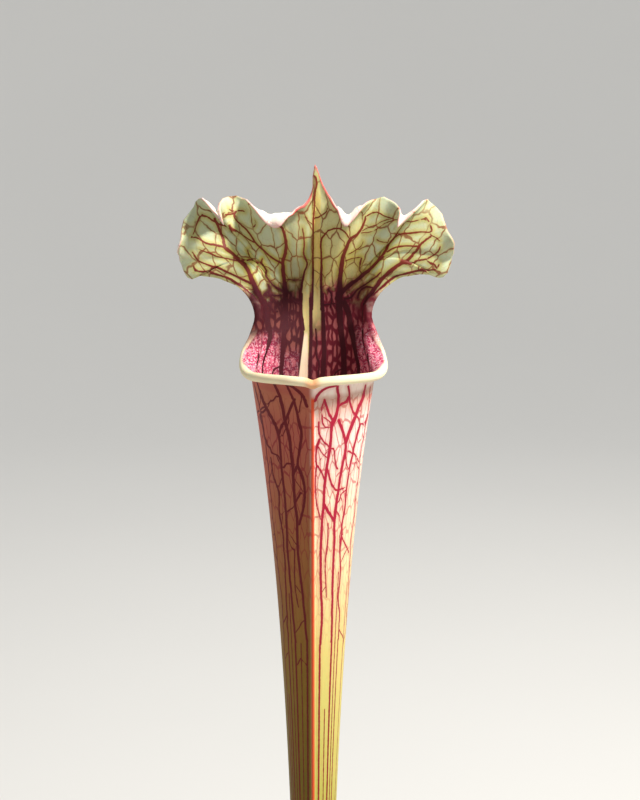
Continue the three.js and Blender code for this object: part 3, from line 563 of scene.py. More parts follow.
# Tall pitcher
# One full-grown leaf, rolled into a tube that flares to an open mouth. A keeled wing runs down its
# front, its lip is rolled outwards, and its back goes on over a narrow neck into a ruffled hood. It
# is cream and pink with crimson veins, and it rises from the rhizome.
LEAF_BASE = 96
LIP_HEIGHT = 285
PETIOLE_WIDTH = 7.4
FLARE_WIDTH = 36.3
FLARE_LENGTH = 120
TUBE_DEPTH_SHARE = 0.93
KEEL_SHARE = 0.16
KEEL_SPREAD = 0.55
WING_HEIGHT = 5
WING_INNER = 0.8
WING_OUTER = 2.2
MOUTH_DROP = 7
MOUTH_RISE = 6
NECK_HEIGHT = 18
NECK_EDGE_HEIGHT = 10
NECK_HALF_WIDTH = 20.6
NECK_DEPTH = 15.5
NECK_BACK = 9.3
NECK_EDGE = 98
NECK_ARC = 104
NECK_SPACING = 1.7
FAN_CENTRE = 4
FAN_BELOW = 12
CRINKLE = 0.26
VEIN_STEP = 0.45
NEAR_SAMPLES = 22
SAMPLES_ALONG = 7
WALL_REACH = 1.4
# Margin of the pitcher, all round: the place on the mouth a strip of leaf starts from (degrees from
# the front), the outermost point it reaches (x, y and z over the lip), the roll of its edge in
# degrees (plus is inwards) and the length of the rolled strip.
MARGIN = np.array([
    (0, 0, -28.8, 0.4, -215, 4.3), (6, 2.6, -28.8, 1.2, -215, 4.3), (20, 9.2, -27, 1.6, -215, 4.3),
    (45, 19.2, -19.4, 1.3, -215, 4.3), (66, 25.2, -9.2, 1, -215, 4.3), (80, 27.2, 0.3, 2.8, -210, 4.3),
    (88, 26.1, 6.6, 6.4, -190, 3.4), (93, 23, 9.5, 11.5, -150, 2.8), (98, 20.6, 11.5, 18, -100, 2.2),
    (101, 21.4, 12.5, 23.2, -70, 2.6), (104, 25.2, 13.5, 28, -40, 2.6), (108, 32.2, 14.5, 32.8, -30, 3),
    (111, 38.1, 14, 34.3, -20, 3), (114, 43.8, 13.5, 34.4, -15, 4), (117, 48.4, 13, 33, -25, 4.5),
    (121, 51.7, 13.5, 40.3, -30, 7), (125, 51.6, 12.5, 46.5, 50, 7), (128, 49.6, 14, 50.6, 10, 7),
    (131, 47.4, 16, 56.7, -30, 8), (134.5, 42.8, 17.5, 61.4, -45, 8), (138, 38.6, 15.5, 59.2, 80, 11),
    (141, 32.8, 14.5, 55.3, 168, 14), (145, 31.6, 15.5, 59.4, 40, 9), (149, 26.4, 19.5, 61.9, -40, 9),
    (153, 21.3, 20, 61, 10, 9), (157, 16.8, 17.5, 59, 165, 12), (161, 12.7, 16, 56, 172, 12),
    (165, 9.7, 17, 58.2, 140, 10), (169, 7.1, 18.5, 61.2, 30, 7), (173.5, 3.7, 18.5, 67, 10, 6),
    (180, 0.7, 18, 74.3, 0, 5), (186, 0, 18.5, 66.5, 10, 5), (190.5, -1.8, 18.5, 61.4, 20, 6),
    (196, -7, 17, 57.8, 90, 8), (201, -13.1, 16, 56.3, 172, 13), (206, -19.3, 17, 57.5, 165, 12.5),
    (209.5, -25.1, 19.5, 61.4, 20, 9), (212.5, -30.1, 20, 62.5, -45, 9), (216, -34.5, 18.5, 61.2, 50, 11),
    (219, -34.9, 15, 56.8, 168, 16), (222, -39.7, 17, 61.5, 100, 12.5), (225, -42.6, 17.5, 61.3, -40, 8),
    (230, -47.9, 16, 53.7, -20, 7), (234, -49.1, 13, 45.7, 110, 7), (238, -49.3, 14, 39, -10, 7),
    (243, -46.1, 13, 33, -25, 4.5), (246.5, -42.3, 13.5, 33.8, -15, 4), (250, -36, 14, 33, -20, 3),
    (254, -28.4, 13.8, 30, -30, 2.6), (258, -22.4, 12.5, 24.8, -70, 2.6),
    (262, -20.4, 11.5, 18.4, -100, 2.2), (267, -22.3, 9.5, 12, -150, 2.8), (272, -26, 6.6, 6.6, -190, 3.4),
    (280, -26.8, 0.3, 2.8, -210, 4.3), (294, -24.7, -9.2, 1, -215, 4.3),
    (315, -19.4, -19.4, 1.3, -215, 4.3), (340, -9.4, -27, 1.6, -215, 4.3),
    (354, -2.6, -28.8, 1.2, -215, 4.3),
])
# Course of the strips over the neck: degrees from the front, dip of the strip's end under the line
# of the fan, and how far it bows out
COURSE = np.array([
    (0, 0, 0.9), (98, 8, 0.9), (104, -9, 1.02), (108, 55, 1.39), (112, 57, 1.8), (114.5, 65, 1.89),
    (117.5, 54, 1.87), (121, 47, 1.58), (126, 32, 1.45), (134, 8, 1.23), (145, 0, 0.9), (180, 0, 0.9),
])


def unit(v):
    """The same way, one long."""
    return v / np.maximum(np.linalg.norm(v, axis=-1, keepdims=True), 1e-9)


def hermite(a, b, ta, tb, u):
    """A place along the curve from a to b that sets out along ta and arrives along tb."""
    near = (2 * u**3 - 3 * u**2 + 1) * a + (u**3 - 2 * u**2 + u) * ta
    return near + (3 * u**2 - 2 * u**3) * b + (u**3 - u**2) * tb


def margin_at(degrees):
    """Smooth closed curve through the margin's rows."""
    knots = np.concatenate([[MARGIN[-1, 0] - 360], MARGIN[:, 0], MARGIN[:2, 0] + 360])
    rows = np.concatenate([MARGIN[-1:, 1:], MARGIN[:, 1:], MARGIN[:2, 1:]])
    a = np.mod(degrees, 360)
    i = np.clip(np.searchsorted(knots, a, side="right") - 1, 1, len(knots) - 3)
    h = (knots[i + 1] - knots[i])[:, None]
    u = (a - knots[i])[:, None] / h
    before = (rows[i + 1] - rows[i - 1]) / (knots[i + 1] - knots[i - 1])[:, None] * h
    after = (rows[i + 2] - rows[i]) / (knots[i + 2] - knots[i])[:, None] * h
    return hermite(rows[i], rows[i + 1], before, after, u)


def calm_margin(degrees):
    """The margin without its short waves."""
    offs = np.linspace(-2.2, 2.2, 23)
    weights = np.exp(-0.5 * offs**2)
    return sum(w * margin_at(degrees + 5 * o)[:, :3] for o, w in zip(offs, weights)) / weights.sum()


def tube_width(leaf, depth):
    """Width of the tube at a depth under the mouth."""
    petiole = PETIOLE_WIDTH * (0.75 + 0.25 * (leaf["size"] - 0.4) / 0.6)
    mouth = (PETIOLE_WIDTH + FLARE_WIDTH) * leaf["size"]
    length = FLARE_LENGTH * leaf["lip"] / LIP_HEIGHT
    return petiole + (mouth - petiole) * np.exp(-np.maximum(depth, 0) / length)


def section(leaf, degrees, z, depth):
    """Points round the tube at a height; the wing's strips keep their width down the tube."""
    width = tube_width(leaf, depth)
    signed = np.where(degrees > 180, degrees - 360, degrees)
    fold = np.abs(signed)
    edge = WING_OUTER * tube_width(leaf, 0) / width
    beyond = 180 - (180 - fold) * (180 - edge) / (180 - WING_OUTER)
    phi = np.radians(np.sign(signed) * np.where(fold < WING_OUTER, fold / WING_OUTER * edge, beyond))
    keel = np.exp(-((np.abs(phi) / KEEL_SPREAD) ** 1.3))
    across = width / 2 * np.sin(phi)
    ahead = -width / 2 * (TUBE_DEPTH_SHARE * np.cos(phi) + KEEL_SHARE * keel)
    return np.stack([across, ahead, z + 0 * phi], 1)


def leaf_sheet(leaf, degrees, tube_shares, up_rows, roll_rows):
    """Middle of the leaf's wall as rows of points, with how far up each row is: 0 at the foot, 1 at
    the mouth, 1.33 at the neck, 2 where the edge begins to roll, 3 at the edge."""
    phi = np.radians(degrees)
    fold = np.minimum(degrees, 360 - degrees)
    hand = np.where(degrees <= 180, 1.0, -1.0)
    flat = 0 * phi
    size = leaf["size"]

    # Where each strip of leaf ends, with and without the short waves of the margin
    reached = margin_at(degrees)
    lip = 1 - eased(80, 97, fold)[:, None]
    flare = 1 + (leaf["lip_flare"] - 1) * lip[:, 0]
    end = reached[:, :3] * np.stack([flare, flare, flat + 1], 1) * size
    end[:, 2] += leaf["lip"]
    calm = calm_margin(degrees) * size
    calm[:, 2] += leaf["lip"]
    hood = eased(100, 112, fold)[:, None]
    calm = end * (1 - hood) + calm * hood
    roll = np.radians(reached[:, 3]) * (leaf["ruffle"] + (leaf["lip_roll"] - leaf["ruffle"]) * lip[:, 0])
    strip = reached[:, 4] * (size + (max(size, 0.6) - size) * lip[:, 0])

    # The tube up to its mouth
    mouth_z = leaf["lip"] - MOUTH_DROP * size + MOUTH_RISE * size * 0.5 * (1 - np.cos(phi))
    rows = [section(leaf, degrees, mouth_z * s, mouth_z * (1 - s)) for s in tube_shares]
    mouth = section(leaf, degrees, mouth_z, flat)
    rise_out = unit(mouth - section(leaf, degrees, mouth_z - 3, flat + 3))

    # The way each strip points at its end, and the way its edge rolls over
    lip_out = unit(np.stack([np.sin(phi), -np.cos(phi), flat - 0.1], 1))
    neck_out = unit(np.stack([hand * 0.6, flat - 0.75, flat + 0.25], 1))
    dip = np.radians(np.interp(fold, COURSE[:, 0], COURSE[:, 1]))
    bow = np.interp(fold, COURSE[:, 0], COURSE[:, 2])[:, None]
    fan = np.arctan2(calm[:, 2] - leaf["lip"] - FAN_CENTRE * size, np.abs(calm[:, 0])) - dip
    fan_out = np.stack([hand * np.cos(fan), flat, np.sin(fan)], 1)
    fan_share = eased(99, 112, fold)[:, None]
    out = unit(lip * lip_out + (1 - lip) * ((1 - fan_share) * neck_out + fan_share * fan_out))
    edge_side = np.stack([-hand, flat - 0.6, flat], 1)
    over = (1 - lip) * ((1 - fan_share) * edge_side + fan_share * np.array([0, -1.0, 0]))
    over = over + lip * np.array([0, 0, 1.0])
    over = unit(over - (over * out).sum(1, keepdims=True) * out)
    turn = np.maximum(np.abs(roll), 1e-4)
    reach = (np.sin(np.minimum(turn, np.pi / 2)) / turn * strip)[:, None]
    root = end - reach * out
    calm_root = calm - reach * out

    # The neck, an arc behind the mouth where the hood is narrowest
    along = np.maximum(fold - NECK_EDGE, 0) / (180 - NECK_EDGE)
    psi = np.radians(NECK_ARC + (180 - NECK_ARC) * (1 - (1 - along) ** NECK_SPACING))
    neck_z = NECK_EDGE_HEIGHT + (NECK_HEIGHT - NECK_EDGE_HEIGHT) * eased(NECK_EDGE, 120, fold)
    neck = np.stack([hand * NECK_HALF_WIDTH * np.sin(psi), NECK_BACK - NECK_DEPTH * np.cos(psi), neck_z], 1)
    neck = neck * size + np.array([0, 0, leaf["lip"]])
    neck_share = eased(84, 108, fold)[:, None]
    whole = np.linalg.norm(calm_root - mouth, axis=1, keepdims=True)
    half_way = hermite(mouth, calm_root, rise_out * whole, out * whole, 0.5)
    neck = neck_share * neck + (1 - neck_share) * half_way
    neck_up = unit(np.stack([calm[:, 0] / (120 * size), flat + 0.1, flat + 1], 1))
    neck_up = unit(neck_share * neck_up + (1 - neck_share) * unit(calm_root - mouth))
    low_pull = np.linalg.norm(neck - mouth, axis=1, keepdims=True)
    high_pull = np.linalg.norm(calm_root - neck, axis=1, keepdims=True) * bow

    # The hood's crinkled edge, then the rows over the neck and round the roll
    arc = np.cumsum(np.linalg.norm(np.roll(end, -1, 0) - end, axis=1)) / size
    crinkle = CRINKLE * size * (np.sin(arc * 0.83) + 0.6 * np.sin(arc * 1.37 + 1) + 0.5 * np.sin(arc * 0.41))
    crinkle = crinkle[:, None] * hood * (1 - eased(168, 176, fold)[:, None])
    low_rows = up_rows // 3
    for u in np.arange(low_rows) / low_rows:
        rows.append(hermite(mouth, neck, rise_out * low_pull, neck_up * low_pull, u))
    for u in np.linspace(0, 1, up_rows - low_rows + 1):
        smooth = hermite(neck, calm_root, neck_up * high_pull, out * high_pull, u)
        rows.append(smooth + u**3 * (root - calm_root) + over * crinkle * u**5)
    safe = np.where(np.abs(roll) < 1e-3, 1e-3, roll)
    for share in np.arange(1, roll_rows + 1) / roll_rows:
        ahead = strip * np.sin(safe * share) / safe
        aside = strip * (1 - np.cos(safe * share)) / safe
        turned = over * np.cos(safe * share)[:, None] - out * np.sin(safe * share)[:, None]
        rolled = root + ahead[:, None] * out + aside[:, None] * over
        rows.append(rolled + turned * crinkle * (1 + 0.6 * share))
    ups = [*tube_shares, *(1 + np.arange(low_rows) / low_rows / 3)]
    ups += [*np.linspace(1 + 1 / 3, 2, up_rows - low_rows + 1)]
    ups += [*(2 + np.arange(1, roll_rows + 1) / roll_rows)]
    return np.array(rows), np.array(ups)


def placed(leaf, points):
    """Leaf points leant forward, turned about the vertical and set on their foot."""
    lean = leaf["lean"] * (np.maximum(points[..., 2], 0) / leaf["lip"]) ** 1.5
    a = math.radians(leaf["turn"])
    x = points[..., 0]
    y = points[..., 1] - lean
    spun = [x * math.cos(a) - y * math.sin(a), x * math.sin(a) + y * math.cos(a), points[..., 2]]
    return np.stack(spun, -1) + np.array([leaf["x"], leaf["y"], LEAF_BASE])


def wing_height(leaf, degrees, z):
    """How far the wing stands out in front of the tube: highest a third of the way up."""
    fold = np.minimum(degrees, 360 - degrees)
    across = 1 - eased(WING_INNER, WING_OUTER, fold)
    rounded = 1 - 0.14 * eased(0, WING_INNER, fold)
    top = 1 - eased(leaf["lip"] - 15 * leaf["size"] - 5, leaf["lip"] - MOUTH_DROP * leaf["size"] - 1, z)
    full = 0.3 * leaf["lip"]
    body = (0.35 + 0.65 * eased(0, full, z)) * (1 - 0.5 * eased(full, leaf["lip"], z))
    return WING_HEIGHT * math.sqrt(leaf["size"]) * across * rounded * top * body


def strip_angles(count):
    """Angles of the strips: close together where the margin runs fast, and across the wing."""
    fine = np.arange(0, 360, 0.25)
    ends = margin_at(fine)[:, :3]
    cost = np.linalg.norm(np.roll(ends, -1, 0) - ends, axis=1) + 0.3
    total = np.concatenate([[0], np.cumsum(cost)])
    spaced = np.interp(np.arange(count) * total[-1] / count, total, np.append(fine, 360))
    clear = spaced[(spaced > 4.4) & (spaced < 355.6)]
    wing = np.array([0.35, 0.6, 0.8, 1.0, 1.2, 1.45, 1.7, 2.2, 2.8, 3.6])
    return np.concatenate([[0], wing, clear, 360 - wing[::-1]])


def store(piece, name, domain, values):
    """Keeps three numbers per point or per face corner, for the finish to read."""
    layer = piece.data.attributes.new(name, "FLOAT_VECTOR", domain)
    layer.data.foreach_set("vector", values.astype(np.float32).ravel())


def pitcher_body(leaf, count, tube_shares, up_rows, roll_rows):
    """The leaf as one closed body, its zones kept as attributes."""
    degrees = strip_angles(count)
    sheet, ups = leaf_sheet(leaf, degrees, tube_shares, up_rows, roll_rows)
    middle = placed(leaf, sheet)
    round_it = np.roll(middle, -1, 1) - np.roll(middle, 1, 1)
    upward = np.gradient(middle, axis=0)
    normal = unit(np.cross(round_it, upward))
    rows, columns = len(ups), len(degrees)
    wall = leaf["wall"] + (leaf["hood"] - leaf["wall"]) * eased(1, 1.4, ups)
    wing = wing_height(leaf, degrees[None, :], sheet[..., 2]) * (ups <= 1)[:, None]
    forward = placed(leaf, np.array([[0, -1.0, 0]])) - placed(leaf, np.array([[0, 0.0, 0]]))
    outer = middle + normal * wall[:, None, None] / 2 + wing[..., None] * forward
    inner_rows = [r for r in range(rows) if ups[r] > 0.1 and (ups[r] > 0.7 or r % 3 == 0)]
    inner = (middle - normal * wall[:, None, None] / 2)[inner_rows]
    tip = middle[-1] + unit(middle[-1] - middle[-2]) * wall[-1] * 0.45
    foot = placed(leaf, np.array([[0, 0, 0.0]]))
    floor = placed(leaf, np.array([[0, 0, sheet[inner_rows[0], 0, 2] - 1.5]]))
    points = np.concatenate([outer.reshape(-1, 3), tip, inner[::-1].reshape(-1, 3), foot, floor])
    piece = from_points(leaf["name"], points, ring_faces(rows + 1 + len(inner_rows), columns))
    piece.data.shade_smooth()

    def spread(field):
        """A value per point of the sheet, carried to both faces of the wall."""
        field = np.broadcast_to(field, (rows, columns, *field.shape[2:]))
        parts = [field.reshape(rows * columns, -1), field[-1].reshape(columns, -1)]
        parts.append(field[inner_rows][::-1].reshape(len(inner_rows) * columns, -1))
        parts.append(np.zeros((2, parts[0].shape[1])))
        return np.concatenate(parts)

    fold = np.minimum(degrees, 360 - degrees) / 180
    inside = np.zeros(len(points))
    inside[rows * columns : rows * columns + columns] = 0.5
    inside[rows * columns + columns :] = 1
    zone = np.stack([spread(fold[None, :, None])[:, 0], spread(ups[:, None, None])[:, 0], inside], 1)
    home = (sheet - np.array([0, 0, leaf["lip"]])) / leaf["size"]
    turn = np.arctan2(home[..., 0], home[..., 2] + FAN_BELOW)
    reach = np.log(np.hypot(home[..., 0], home[..., 2] + FAN_BELOW).clip(5))
    fan = np.stack([turn * 30, reach * 15, 0 * turn], -1)
    store(piece, "zone", "POINT", zone)
    store(piece, "home", "POINT", spread(home))
    store(piece, "fan", "POINT", spread(fan))
    return piece, (degrees, ups, sheet, middle), (spread(middle), spread(normal))


class Sheet:
    """The middle of a leaf's wall, to find places on it by angle and share of the way up."""

    def __init__(self, degrees, ups, middle):
        self.degrees = np.append(degrees, 360)
        self.ups = ups
        self.middle = np.concatenate([middle, middle[:, :1]], 1)

    def at(self, angles, shares):
        column = np.interp(np.mod(angles, 360), self.degrees, np.arange(len(self.degrees)))
        row = np.interp(shares, self.ups, np.arange(len(self.ups)))
        c = np.minimum(column.astype(int), len(self.degrees) - 2)
        r = np.minimum(row.astype(int), len(self.ups) - 2)
        s, t = (column - c)[:, None], (row - r)[:, None]
        low = self.middle[r, c] * (1 - s) + self.middle[r, c + 1] * s
        high = self.middle[r + 1, c] * (1 - s) + self.middle[r + 1, c + 1] * s
        return low * (1 - t) + high * t

    def vein(self, half_start, half_end, knots):
        """A vein through knots of (degrees, share of the way up), as places and half widths."""
        knots = rounded_course(np.array(knots, float), 40)
        places = self.at(knots[:, 0], knots[:, 1])
        return evenly(places, half_start, half_end)


def rounded_course(knots, per_step):
    """Smooth line through knots."""
    slopes = np.gradient(knots, axis=0) if len(knots) > 2 else np.repeat(knots[1:] - knots[:1], 2, 0)
    shares = np.arange(per_step) / per_step
    parts = [hermite(knots[i], knots[i + 1], slopes[i], slopes[i + 1], shares[:, None])
             for i in range(len(knots) - 1)]
    return np.concatenate([*parts, knots[-1:]])


def evenly(places, half_start, half_end):
    """Evenly spaced samples along a line in space, with the vein's half width at each."""
    steps = np.linalg.norm(np.diff(places, axis=0), axis=1)
    total = np.concatenate([[0], np.cumsum(steps)])
    count = max(int(total[-1] / VEIN_STEP), 2)
    where = np.linspace(0, total[-1], count)
    samples = np.stack([np.interp(where, total, places[:, c]) for c in range(3)], 1)
    return samples, np.linspace(half_start, half_end, count)


def tree_of(points):
    """Finds the points nearest a place."""
    tree = kdtree.KDTree(len(points))
    for i, point in enumerate(points):
        tree.insert(point, i)
    tree.balance()
    return tree


def gathered(veins):
    """Places on all veins, and the number of the vein that each is on."""
    counts = [len(places) for places, _ in veins]
    return np.concatenate([places for places, _ in veins]), np.repeat(np.arange(len(veins)), counts)


def traced_vein(view, half_start, half_end, course):
    """A vein seen in the picture, carried onto the leaf: between the leaf points seen nearest it.
    Also gives the angle and the share of the way up of both its ends."""
    tree, places, params = view
    fine = rounded_course(np.array(course, float), 12)
    spots = []
    for right, up in fine:
        found = tree.find_n((right, up, 0), 4)
        weights = np.array([1 / (d + 0.15) for _, _, d in found])
        near = [i for _, i, _ in found]
        spots.append((places[near] * weights[:, None]).sum(0) / weights.sum())
    spots = np.array(spots)
    even = np.concatenate([spots[:1], (spots[:-2] + 2 * spots[1:-1] + spots[2:]) / 4, spots[-1:]])
    first, last = (params[((places - even[end]) ** 2).sum(1).argmin()] for end in (0, -1))
    return evenly(even, half_start, half_end), first, last


def front_view(degrees, ups, sheet, middle, allowed):
    """Leaf points as the picture shows them, from ten degrees above: right, and up from the lip."""
    up = (sheet[..., 2] - LIP_HEIGHT) * math.cos(CAMERA_RISE) + sheet[..., 1] * math.sin(CAMERA_RISE)
    seen = np.stack([sheet[..., 0], up, 0 * up], -1)[allowed]
    params = np.stack(np.broadcast_arrays(degrees[None, :], ups[:, None]), -1)
    return tree_of(seen), middle[allowed], params[allowed]


def links(mesh_sheet, spines, low, high, step, half):
    """Slanting veins from each lengthwise vein to the next, every step millimetres or so."""
    made = []
    for left, right in zip(spines[:-1], spines[1:]):
        share = low + draw.uniform(0, step)
        while share < high:
            slant = draw.uniform(0.6, 1.3) * (right - left) * 0.0024
            middle = (left + right) / 2 + draw.uniform(-2, 2)
            near, far = (left, right) if draw.random() < 0.5 else (right, left)
            knots = [(near, share), (middle, share + slant * 0.8), (far, share + slant)]
            made.append(mesh_sheet.vein(half, half * 0.8, knots))
            share += step * draw.uniform(0.7, 1.4)
    return made


def netting(veins, rounds, near, far, half, slant, keep):
    """Thin veins that join neighbouring ones across open leaf, at least as steep as slant, where keep
    says so of their ends."""
    for tries in rounds:
        samples, keys = gathered(veins)
        tree = tree_of(samples)
        made = []
        for i in draw.integers(len(samples), size=tries):
            start = samples[i]
            others = []
            for _, j, d in tree.find_range(start, far):
                step = samples[j] - start
                steep = abs(step[2]) >= slant * math.hypot(step[0], step[1])
                if d > near and keys[j] != keys[i] and steep and keep(start, samples[j]):
                    others.append(j)
            if not others:
                continue
            end = samples[others[draw.integers(len(others))]]
            middle = (start + end) / 2 + draw.uniform(-0.12, 0.12, 3) * np.linalg.norm(end - start)
            length = np.linalg.norm(end - start)
            if tree.find(middle)[2] < 0.2 * length:
                continue
            if any(np.linalg.norm(middle - spot) < 0.75 * near for spot, _ in made):
                continue
            turns = np.array([start, start * 0.6 + middle * 0.4, middle, end * 0.6 + middle * 0.4, end])
            turns[1:4] += draw.uniform(-0.07, 0.07, (3, 3)) * length
            width = half * draw.uniform(0.75, 1.25)
            made.append((middle, evenly(rounded_course(turns, 10), width, width * 0.75)))
        veins += [vein for _, vein in made]


def mark_veins(piece, flat, veins):
    """Keeps at each face's corners the nearest places of the two veins nearest the face."""
    mesh = piece.data
    corner = np.empty(len(mesh.loops), np.int32)
    mesh.loops.foreach_get("vertex_index", corner)
    totals = np.empty(len(mesh.polygons), np.int32)
    mesh.polygons.foreach_get("loop_total", totals)
    starts = np.concatenate([[0], np.cumsum(totals)[:-1]])
    at = flat[0][corner]
    facing = flat[1][corner]
    centres = np.add.reduceat(at, starts) / totals[:, None]
    samples, keys = gathered(veins)
    halves = np.concatenate([half for _, half in veins])
    tree = tree_of(samples)
    chosen = np.zeros((2, len(centres)), int)
    for f, centre in enumerate(centres):
        ranked = sorted((d - halves[i], i) for _, i, d in tree.find_n(centre, NEAR_SAMPLES))
        first = ranked[0][1]
        chosen[0, f] = first
        chosen[1, f] = next((i for _, i in ranked if keys[i] != keys[first]), first)
    vertex = np.empty(len(mesh.vertices) * 3, np.float32)
    mesh.vertices.foreach_get("co", vertex)
    skin = vertex.reshape(-1, 3)[corner] / MM - at
    sizes = np.full((len(corner), 3), 0.3)
    for which in (0, 1):
        pick = np.repeat(chosen[which], totals)
        best = np.full(len(corner), 1e9)
        place = np.zeros((len(corner), 3))
        for off in range(-SAMPLES_ALONG, SAMPLES_ALONG):
            a = np.clip(pick + off, 0, len(samples) - 2)
            same = (keys[a] == keys[pick]) & (keys[a + 1] == keys[pick])
            span = samples[a + 1] - samples[a]
            share = ((at - samples[a]) * span).sum(1) / np.maximum((span * span).sum(1), 1e-9)
            share = np.clip(share, 0, 1)[:, None]
            spot = samples[a] + share * span
            lift = ((at - spot) * facing).sum(1)
            lift = np.minimum(lift**2, WALL_REACH**2)
            far = np.where(same, ((at - spot) ** 2).sum(1) - lift, 1e9)
            nearer = far < best
            best[nearer] = far[nearer]
            place[nearer] = spot[nearer]
            sizes[nearer, which] = halves[a][nearer]
        lift = ((place - at) * facing).sum(1, keepdims=True)
        place -= facing * np.clip(lift, -WALL_REACH, WALL_REACH)
        store(piece, f"vein_{which}", "CORNER", (place + skin) * MM)
    store(piece, "vein_half", "CORNER", sizes)


